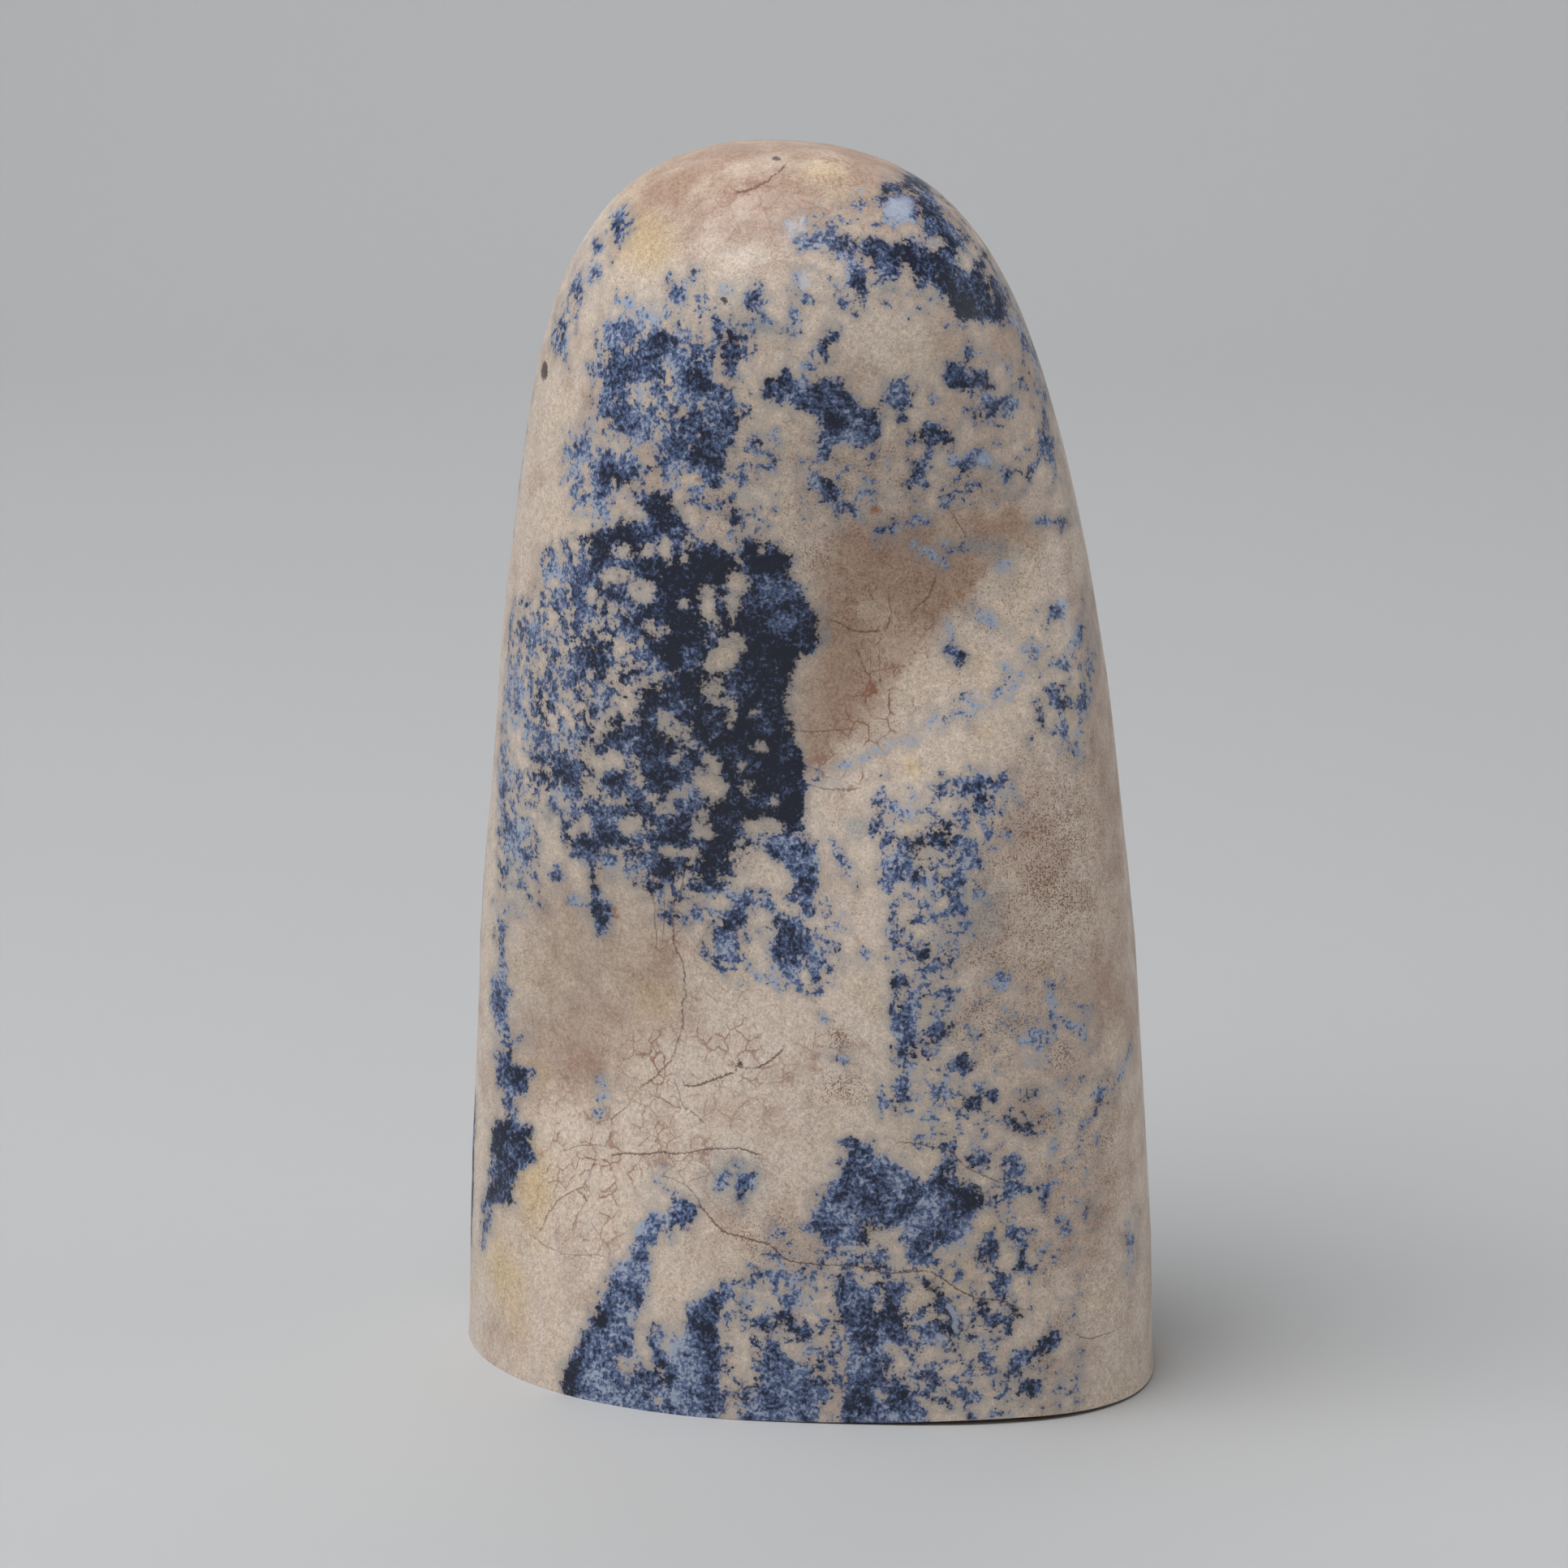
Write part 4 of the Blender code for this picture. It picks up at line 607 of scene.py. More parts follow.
# Blue lines: width, depth of colour, how solid, and the points they pass
LINES = (
    (0.9, 0.88, 0.95, (
        (6.8, 112.9), (8.4, 112.9), (9.5, 113.3), (10.3, 113), (11, 111.6), (12, 109.9), (14, 108.2))),
    (0.4, 0.45, 0.9, (
        (18.6, 101.6), (19.4, 100), (20.3, 98.2), (21, 96.4), (21.2, 94.9), (21.5, 93.6), (21.6, 92),
        (21.6, 90.5))),
    (0.5, 0.75, 0.9, ((14.7, 93.4), (15.2, 92.6), (16.8, 92.8))),
    (0.45, 0.6, 0.9, ((-4.6, 90.3), (-4.4, 91.3), (-3.2, 91.5), (-2.9, 90.8))),
    (0.5, 0.75, 0.9, ((-23.6, 68.8), (-22.8, 68.6), (-22.3, 68))),
    (0.6, 0.6, 0.85, ((-24.3, 67.4), (-24, 66.6), (-23.3, 65.8), (-22.6, 66.8))),
    (0.4, 0.35, 0.8, ((8, 83), (9.2, 83.6), (11, 83.8), (12.2, 84.9), (13.4, 86.2))),
    (0.45, 0.02, 0.7, (
        (20.3, 69.6), (19, 69), (18.2, 68), (16.5, 67), (15, 66.6), (12.6, 65.4), (10, 64.2), (7.4, 63),
        (4.6, 61.8), (2.4, 60.4))),
    (1.5, 0.38, 0.65, ((-28, 66.4), (-27.2, 64.8), (-26.4, 63.3), (-25.3, 61.6))),
    (0.4, 0.35, 0.7, ((-28.8, 66), (-28.9, 62), (-28.8, 57.8))),
    (1, 0.65, 0.85, ((-22, 62.6), (-21, 63), (-20, 62.2), (-19, 61.9))),
    (0.5, 0.6, 0.7, ((-24.6, 60), (-23.6, 59), (-23, 57.6), (-22.6, 56.5))),
    (0.8, 0.45, 0.8, ((13.6, 58.6), (14, 57.2), (14.4, 56), (14.4, 54.6), (14.2, 53.6))),
    (0.6, 0.5, 0.85, ((11, 48.8), (11.6, 47.9), (12.8, 47.9), (13.2, 48.7), (13.8, 49.6))),
    (0.6, 0.45, 0.8, ((12, 47.6), (12.5, 46.2), (12.5, 45.2), (12, 44.2), (11.5, 43.5))),
    (0.4, 0.4, 0.85, ((9.8, 42.6), (9.9, 41), (9.9, 40))),
    (0.8, 0.5, 0.75, ((22.6, 37.6), (23.8, 37.6), (24.6, 36.8), (25.2, 36.2))),
    (0.7, 0.45, 0.75, ((22.6, 30.8), (22.8, 29.6), (23.2, 28.2), (22.8, 26.6), (22.4, 25.6))),
    (0.9, 0.95, 1, (
        (-19.7, 8), (-20, 7), (-20.7, 6), (-21.3, 4.8), (-21.7, 3.8), (-22.1, 3), (-22.5, 2.2),
        (-22.7, 0.6))),
    (0.5, 0.9, 1, ((11.6, 2.6), (12.6, 2.4), (13.1, 1.8))),
    (1.2, 0.7, 0.85, ((22.9, 7.6), (21.5, 7), (20.3, 6.2), (19.2, 6.4))),
)

# Cracks: width, strength, and the points they pass
CRACKS = (
    (0.16, 0.9, ((3.1, 74), (4.2, 73.6), (5.3, 73.3), (5.9, 73.3))),
    (0.14, 0.9, ((10.1, 75.8), (11, 76.6), (11.4, 77.8))),
    (0.12, 0.8, ((12.9, 84.2), (13.7, 83.2), (14.1, 82.4))),
    (0.1, 0.7, ((7.5, 75.9), (7.6, 74.8), (7.3, 74))),
    (0.14, 0.7, ((4.8, 70.9), (5.2, 70))),
    (0.1, 0.6, ((6.5, 71.8), (6.6, 69))),
    (0.12, 0.7, ((-1.2, 64.3), (1, 64.2), (3.8, 64.3))),
    (0.12, 0.7, ((1.2, 59), (2.4, 58.8), (3.8, 59))),
    (0.16, 0.8, (
        (-11, 51.5), (-11.4, 50.3), (-11.6, 49), (-12.4, 47.9), (-12.4, 44.7), (-12.4, 43.4), (-12, 42.9),
        (-11.6, 42.2), (-11.4, 40.8), (-11.3, 39.6), (-11, 38.6), (-11.4, 38.4), (-11.6, 36.2), (-12, 34.4),
        (-12.6, 32.9), (-13.2, 32), (-14.3, 30.4), (-15.1, 29.6))),
    (0.12, 0.7, ((-14.3, 49.6), (-14.2, 47.6), (-14, 45.3), (-14.1, 43.7))),
    (0.12, 0.6, ((-6.4, 51.7), (-5.5, 53.7))),
    (0.12, 0.6, (
        (-15.1, 29.6), (-16.3, 28.7), (-16.9, 27.5), (-18.2, 26.1), (-18.6, 24.3), (-18.9, 23.5),
        (-21.4, 23), (-22.4, 22.5))),
    (0.22, 1, ((-2.8, 34.5), (-3.7, 33.5), (-4.9, 32.8), (-6, 32.4), (-6.3, 32.6))),
    (0.2, 1, ((-7, 32), (-8.1, 31.6), (-9.3, 31), (-10.5, 30.3), (-11.6, 30.3))),
    (0.12, 0.7, ((-14.1, 28.9), (-13.4, 28.9), (-12.2, 28.3), (-11.2, 28.2), (-10.1, 27.5))),
    (0.12, 0.6, ((-12.2, 30.3), (-11.6, 28.6))),
    (0.18, 0.95, (
        (-17.5, 23), (-16.7, 23.2), (-13.6, 23.8), (-11.4, 24.2), (-9.5, 24.8), (-7.9, 25.1), (-6.4, 25.3),
        (-5.2, 25.1))),
    (0.14, 0.7, (
        (-20.1, 21.9), (-20.9, 20), (-21.1, 19.2), (-22.3, 18.5), (-23.6, 17.6), (-24.4, 16.4),
        (-24.9, 15.1))),
    (0.12, 0.6, ((-20.5, 19), (-21.2, 17.6), (-21.8, 16))),
    (0.12, 0.7, ((-12.6, 21.6), (-11.1, 21.2), (-10.1, 20.3))),
    (0.18, 0.95, (
        (-9.9, 19.6), (-9.3, 18.9), (-8.3, 18), (-7.4, 17.5), (-5.8, 17.1), (-4.4, 17), (-3.4, 16.6),
        (-2.6, 16), (-1.8, 15.5), (-0.4, 15.2), (1, 15.1), (2.6, 15.3), (4, 15.2), (5.8, 14.9), (7.1, 14.6),
        (8.7, 14.6), (10.1, 14.8), (11.4, 14.7), (12.3, 14.1), (13.2, 13.5), (14.6, 12.8), (15.5, 12.2),
        (16.9, 12), (18.3, 11.6), (19.2, 11.2))),
    (0.14, 0.8, ((9.2, 27), (11, 26.8), (13.2, 26.1), (14.1, 25.2), (15.3, 24), (16.9, 23.4))),
    (0.14, 0.7, ((-6.3, 3), (-8, 0.4))),
    (0.14, 0.8, ((25.2, 7.6), (26, 7.2), (27.2, 7), (28.4, 7.2))),
    (0.14, 0.9, ((-2.7, 114.5), (-3.6, 113.6), (-5.7, 113))),
    (0.1, 0.6, ((-25.5, 13.4), (-23, 13), (-19.6, 13.6))),
)

# Painted shade in browner feldspar over the two hollows and the top: strength, softness of the edge, and the
# outline
PAINTED_SHADE = (
    # painted shade in the hollow under the upper lobe, above the long crease
    (0.9, 1.6, (
        (0.5, 78), (2, 82.6), (8, 84.4), (15, 84.4), (22, 83.8), (24, 82), (18, 79.6), (13.5, 76),
        (9.9, 70.5), (6.2, 66), (1.8, 62), (-0.5, 59.6), (-1, 66), (0.8, 71))),
    # painted shade in the hollow on the lower left
    (0.55, 3, (
        (-24, 49), (-18, 49), (-12, 46), (-10.5, 43), (-11.5, 38), (-15, 33.5), (-19.5, 29), (-25, 24.5),
        (-28, 26), (-27, 34), (-26, 42))),
    # painted shade over the top, darkened against the light from above
    (0.9, 4, ((-40, 150), (40, 150), (20, 109), (2, 110), (-16, 108))),
)
# Tints on the front: centre, half length, half width, tilt in degrees, strength
BROWN = (
    (31, 48, 7, 32, 0, 0.6), (22, 20, 9, 16, 0, 0.3), (21, 50, 7, 10, 0, 0.35), (18, 95, 10, 10, 0, 0.4),
    (-12, 92, 10, 8, 0, 0.3), (22, 40, 8, 12, 0, 0.3), (6, 90, 10, 8, 0, 0.35), (-5, 17, 6, 4, 0, 0.3),
)
CREAM = (
    (-15, 108, 3, 2.2, 0, 0.8), (-26, 18, 1.6, 4, 0, 0.9), (-14, 38, 2.4, 2, 0, 0.5),
    (12.7, 14, 2.8, 2, 0, 0.4), (-28.5, 8, 1.6, 5, 10, 0.8), (-25.6, 28.6, 1.2, 1.2, 0, 0.6),
    (13.9, 76.3, 0.9, 0.7, 0, 0.6), (15.4, 70.6, 0.8, 0.6, 0, 0.5), (16.2, 64.4, 0.9, 0.4, 0, 0.8),
    (9.4, 61.4, 0.9, 0.9, 0, 0.8), (9.4, 56, 1.3, 0.6, 0, 0.5), (17, 18.9, 0.8, 0.7, 0, 0.6),
    (24, 66, 0.5, 1.6, 0, 0.8), (3, 71.4, 0.9, 0.4, 0, 0.5), (21.8, 42.6, 0.8, 0.8, 0, 0.6),
    (-23, 97, 1, 0.8, 0, 0.5), (1.7, 114.6, 1.7, 0.6, 0, 0.5),
)
RUST = (
    (-18, 46, 0.65, 0.3, -50, 1.3), (6.1, 84.8, 0.5, 0.5, 0, 0.9), (13.9, 76.3, 0.6, 0.4, 0, 0.7),
    (-17.2, 74, 0.5, 0.3, 0, 0.8), (-10, 87.6, 0.5, 0.3, 0, 1), (-10.7, 45.7, 0.3, 0.2, 0, 0.9),
    (16.2, 64.4, 0.4, 0.3, 0, 0.6), (-21.6, 63.6, 0.4, 0.2, 0, 0.8), (11.5, 74.2, 0.8, 0.35, 25, 0.6),
)
# Dark brown grains: centre, half length, half width, tilt in degrees
GRAINS = (
    (-24.4, 95.2, 0.8, 0.4, 85), (-7.6, 103.5, 0.25, 0.25, 0), (-2.9, 115.5, 0.4, 0.18, 0),
    (-6.3, 32.9, 0.14, 0.14, 0),
)
# Where the craze of fine red-brown lines is dense: centre, half length, half width, tilt, strength
CRAZE = (
    (6, 66, 2.6, 5.2, -35, 1), (3, 60.5, 3, 2, 0, 0.9), (-5, 112, 3, 2, 0, 0.7),
    (1.7, 114.6, 2.4, 1, 0, 0.7), (-13, 32, 4, 3, 0, 0.9), (-7, 34, 6, 6, 0, 0.7), (-20, 21, 6, 7, 0, 0.8),
    (12, 74, 2.4, 2, 0, 0.6), (-12, 25, 8, 5, 0, 0.55), (3, 75, 6, 4, 0, 0.35), (8, 89.4, 2, 3, 0, 0.5),
    (24, 28, 3, 3, 0, 0.35), (-4, 37, 4, 3, 0, 0.5), (2, 36, 3, 6, 0, 0.4), (-12, 45, 4, 4, 0, 0.5),
    (0, 112, 12, 5, 0, 0.4),
)
# Where dark red-brown pits lie thick, in the same order
PITTED = (
    (22, 51, 5, 10, 0, 0.9), (17.5, 38.5, 4, 3, 0, 0.8), (5, 73, 6, 8, 0, 0.35), (24, 20, 5, 14, 0, 0.4),
    (2.9, 36.3, 1, 1, 0, 0.9), (3, 31.8, 2.4, 1.4, 0, 0.9), (23.4, 34.6, 1.5, 1.4, 0, 1),
    (27, 26, 1.6, 1.4, 0, 0.9), (16, 44.5, 3, 2, 0, 0.8), (8, 79, 12, 8, 0, 0.5),
    (22.5, 28.5, 1.4, 1.4, 0, 0.9), (-8, 88, 2, 5, 0, 0.5), (5, 87, 9, 5, 0, 0.4), (-3, 17, 5, 3, 0, 0.5),
)
# Blue-grey and grey-green hazes: centre, half length, half width, tilt
HAZE = (
    (-4.7, 101.4, 2.2, 0.9, 0), (7.2, 104.6, 1.2, 0.6, 0), (11.2, 104, 1.2, 0.7, 0),
    (16.3, 88.6, 1.2, 0.8, 0), (18.2, 86.4, 0.6, 0.7, 0), (-27.4, 47.8, 1.2, 1.8, 0),
    (-23.4, 54.8, 1.3, 1.2, 0), (4.3, 55.6, 1, 1, 0), (16.2, 81, 2.4, 0.7, -15), (15.6, 48.6, 2, 3, 0),
    (-19, 51.9, 1.2, 1, 0), (-6.8, 22.2, 2.4, 2.2, 0), (-6, 11.5, 0.5, 1.6, 0), (18.4, 94.8, 0.8, 0.6, 0),
    (1.5, 74, 0.4, 1.6, 0),
)
# Milky white wisps and flecks: centre, half length, half width, tilt, strength
MILK = (
    (-0.45, 105.5, 0.45, 0.7, 0, 1.2), (-1.2, 109.9, 1.4, 1, 20, 0.7), (8.2, 111.5, 1.6, 0.9, 10, 0.7),
    (7, 63, 0.8, 0.4, 20, 0.6), (15.4, 67.6, 1.2, 0.4, 0, 0.6), (15.8, 89, 0.9, 0.6, 0, 0.7),
    (11.3, 108.3, 0.8, 0.5, -10, 0.6), (13.3, 105.6, 1, 0.5, -20, 0.5), (16.6, 103.3, 0.4, 0.5, 0, 0.6),
    (12.9, 21.4, 0.9, 0.22, 5, 0.9), (14.6, 19.4, 0.3, 0.7, 0, 0.8), (-12.8, 18, 1.3, 0.2, 90, 0.8),
    (21, 71, 1.2, 0.5, 20, 0.5), (9.7, 58, 0.5, 0.4, 0, 0.6),
)
# Milky lines: width, strength, and the points they pass
MILK_LINES = ((0.5, 1.2, ((12.2, 8.6), (13, 8.8), (13.6, 9.6), (13.6, 10.6), (13.2, 11.4))),)


def display(*channels):
    """The scene colour of a display colour, whose red, green and blue run from 0 to 255."""
    shares = [channel / 255 for channel in channels]
    return tuple(((share + 0.055) / 1.055) ** 2.4 if share > 0.04045 else share / 12.92 for share in shares)


def colour(name, description, red, green, blue):
    """A colour property with a display colour as its default."""
    return bpy.props.FloatVectorProperty(
        name=name, description=description, default=display(red, green, blue),
        size=3, min=0, max=1, subtype="COLOR")


def length(name, description, millimetres, high=2.0):
    """A length property, in metres, with its default given in millimetres."""
    return bpy.props.FloatProperty(
        name=name, description=description, default=millimetres * MM,
        min=0, max=high, subtype="DISTANCE", unit="LENGTH")


def amount(name, description, default, low=0.0, high=1.0):
    """A plain number property."""
    return bpy.props.FloatProperty(name=name, description=description, default=default, min=low, max=high)


class FREEFORM_PG_stone(bpy.types.PropertyGroup):
    """Sizes and colours of the stone."""

    levels: bpy.props.IntProperty(
        name="Subdivision", description="How often each face is parted", default=2, min=0, max=2)
    rim: length("Rim", "Width of the rounded edge round the sawn base", 0.35)
    wave: length("Wave", "Height of the slow waves that hand polishing leaves", 0.16)
    wave_size: length("Wave size", "Distance between the slow waves", 9)
    ripple: length("Ripple", "Height of the small unevenness of the polish", 0.05)
    ripple_size: length("Ripple size", "Distance between the small unevennesses", 2.6)
    gloss: amount("Roughness", "Roughness of the polished face", 0.39)
    feldspar_pale: colour("Pale feldspar", "Pinkish cream of most of the stone", 219, 202, 187)
    # also the colour of the painted shade in the hollows and over the top
    feldspar_brown_and_shade: colour("Brown feldspar", "Browner pink of the duller parts", 181, 152, 132)
    cream: colour("Cream", "Yellow cream stains", 214, 186, 140)
    rust: colour("Rust", "Orange rust spots", 168, 96, 52)
    pit: colour("Pits", "Red-brown pits", 124, 82, 62)
    craze: colour("Craze", "Fine red-brown lines", 142, 86, 64)
    crack: colour("Cracks", "Red-brown cracks", 96, 62, 50)
    grain: colour("Dark grain", "Nearly black brown grains", 62, 42, 38)
    halo: colour("Halo", "Grey glassy rim round the blue", 146, 146, 146)
    haze: colour("Haze", "Blue-grey haze in the feldspar", 146, 154, 158)
    navy: colour("Navy", "Deepest sodalite", 22, 28, 48)
    blue: colour("Blue", "Middle sodalite", 85, 103, 143)
    pale_blue: colour("Pale blue", "Cloudy sodalite grains", 168, 178, 197)
    milk: colour("Milk", "White flecks in the blue", 196, 203, 220)


class FREEFORM_PG_stage(bpy.types.PropertyGroup):
    """Stage, lights and camera."""

    floor: colour("Floor", "Plain pale floor and backdrop", 201, 202, 203)
    floor_width: length("Floor width", "Width of the backdrop", 2400, high=10)
    floor_depth: length("Floor depth", "Depth of the floor in front of and behind the stone", 1200, high=10)
    wall_height: length("Wall height", "Height of the backdrop", 1400, high=10)
    sweep: length("Sweep", "Radius of the curve between floor and wall", 500, high=10)
    room: amount("Room light", "Strength of the even light of the room", 0.3, high=5)
    top_power: amount("Top light", "Power of the large soft light above, in watts", 7.7, high=100)
    top_size: length("Top light size", "Side of the soft light above", 800, high=10)
    fill_power: amount("Right fill", "Power of the soft light on the right, in watts", 0.8, high=100)
    wall_power: amount("Wall light", "Power of the soft light on the backdrop, in watts", 2.6, high=100)
    lens: amount("Lens", "Focal length in millimetres", 118.9, 1, 500)
    camera_place: bpy.props.FloatVectorProperty(
        name="Camera", description="Where the camera stands", default=(-0.0022, -0.480, 0.160), size=3,
        subtype="TRANSLATION", unit="LENGTH")
    pitch: bpy.props.FloatProperty(
        name="Pitch", description="How far the camera looks down", default=math.radians(12.3),
        subtype="ANGLE")


class Wire:
    """A socket of a material, with the arithmetic that the patterns use."""

    def __init__(self, finish, socket):
        self.finish = finish
        self.socket = socket

    def maths(self, operation, first, second=0.0, clamp=False):
        """One Math node on two values."""
        return self.finish.add(
            "ShaderNodeMath", {"operation": operation, "use_clamp": clamp}, {0: first, 1: second})

    def __add__(self, other):
        return self.maths("ADD", self, other)

    def __radd__(self, other):
        return self.maths("ADD", other, self)

    def __sub__(self, other):
        return self.maths("SUBTRACT", self, other)

    def __rsub__(self, other):
        return self.maths("SUBTRACT", other, self)

    def __mul__(self, other):
        return self.maths("MULTIPLY", self, other)

    def __rmul__(self, other):
        return self.maths("MULTIPLY", other, self)

    def __abs__(self):
        return self.maths("ABSOLUTE", self)

    def at_most(self, other):
        """The smaller of the two values."""
        return self.maths("MINIMUM", self, other)

    def at_least(self, other):
        """The larger of the two values."""
        return self.maths("MAXIMUM", self, other)

    def limited(self):
        """The value held between 0 and 1."""
        return self.maths("ADD", self, 0.0, clamp=True)

    def rise(self, low, high):
        """A smooth step from 0 at low to 1 at high."""
        return self.finish.add(
            "ShaderNodeMapRange", {"interpolation_type": "SMOOTHSTEP"},
            {"Value": self, "From Min": low, "From Max": high, "To Min": 0.0, "To Max": 1.0})

    def fall(self, low, high):
        """A smooth step from 1 at low to 0 at high."""
        return 1 - self.rise(low, high)


class Finish:
    """A material whose nodes are written as expressions."""

    def __init__(self, name):
        self.material = bpy.data.materials.new(name)
        self.material.use_nodes = True
        self.nodes = self.material.node_tree.nodes
        self.links = self.material.node_tree.links
        self.nodes.clear()

    def add(self, kind, settings=None, sockets=None, out=0):
        """Adds a node: its settings first, then the values or links of its sockets."""
        node = self.nodes.new(kind)
        for name, value in (settings or {}).items():
            setattr(node, name, value)
        for name, value in (sockets or {}).items():
            if isinstance(value, Wire):
                self.links.new(value.socket, node.inputs[name])
            else:
                node.inputs[name].default_value = value
        return Wire(self, node.outputs[out] if node.outputs else None)

    def mix(self, factor, first, second, mode="MIX"):
        """Two colours mixed."""
        sockets = {0: factor, 6: shade(first), 7: shade(second)}
        return self.add(
            "ShaderNodeMix", {"data_type": "RGBA", "blend_type": mode, "clamp_factor": True}, sockets, out=2)

    def attribute(self, name):
        """A value laid on the stone's points."""
        return self.add("ShaderNodeAttribute", {"attribute_name": name}, out="Fac")

    def clouds(self, place, size, detail=2.0, roughness=0.5, distortion=0.0):
        """Noise about 0, mostly between -0.5 and 0.5, with clouds of the given size in millimetres."""
        value = self.add("ShaderNodeTexNoise", None, {
            "Vector": place, "Scale": 1 / size, "Detail": detail, "Roughness": roughness,
            "Distortion": distortion})
        return value - 0.5

    def cells(self, place, size, feature="F1", out="Distance"):
        """Cells of the given size in millimetres."""
        return self.add(
            "ShaderNodeTexVoronoi", {"feature": feature}, {"Vector": place, "Scale": 1 / size}, out=out)


def shade(value):
    """A colour with its alpha, or the wire that carries one."""
    return value if isinstance(value, Wire) else (*value[:3], 1.0)


def outline_depth(points, outline):
    """How far each point lies inside a closed outline, negative outside."""
    corners = np.array(outline, float)
    nearest = np.full(len(points), np.inf)
    inside = np.zeros(len(points), bool)
    for start, end in zip(corners, np.roll(corners, -1, axis=0)):
        edge = end - start
        share = np.clip((points - start) @ edge / (edge @ edge), 0, 1)
        nearest = np.minimum(nearest, np.linalg.norm(points - start - share[:, None] * edge, axis=1))
        straddles = (start[1] > points[:, 1]) != (end[1] > points[:, 1])
        if edge[1]:
            crossing = start[0] + (points[:, 1] - start[1]) / edge[1] * edge[0]
            inside ^= straddles & (points[:, 0] < crossing)
    return np.where(inside, nearest, -nearest)


def spot_depth(points, x, z, half_length, half_width, tilt):
    """Roughly how far each point lies inside a tilted ellipse."""
    turn = math.radians(tilt)
    along = (points[:, 0] - x) * math.cos(turn) + (points[:, 1] - z) * math.sin(turn)
    across = (points[:, 1] - z) * math.cos(turn) - (points[:, 0] - x) * math.sin(turn)
    reach = np.hypot(along / half_length, across / half_width)
    return (1 - reach) * min(half_length, half_width)


def line_offset(points, route):
    """Signed offset from a line of straight runs, and the distance to it."""
    corners = np.array(route, float)
    nearest = np.full(len(points), np.inf)
    offset = np.full(len(points), np.inf)
    for start, end in zip(corners[:-1], corners[1:]):
        edge = end - start
        away = points - start
        share = np.clip(away @ edge / (edge @ edge), 0, 1)
        distance = np.linalg.norm(away - share[:, None] * edge, axis=1)
        side = (away[:, 0] * edge[1] - away[:, 1] * edge[0]) / np.linalg.norm(edge)
        closer = distance < nearest
        nearest = np.where(closer, distance, nearest)
        offset = np.where(closer, side, offset)
    return offset, nearest


def smooth(low, high, value):
    """A smooth step from 0 at low to 1 at high."""
    share = np.clip((value - low) / (high - low), 0, 1)
    return share * share * (3 - 2 * share)


def near(points, corners, margin=3.0):
    """Which points lie near enough to a shape to be touched by it."""
    corners = np.array(corners, float)
    low, high = corners.min(0) - margin, corners.max(0) + margin
    return np.flatnonzero(((points > low) & (points < high)).all(1))


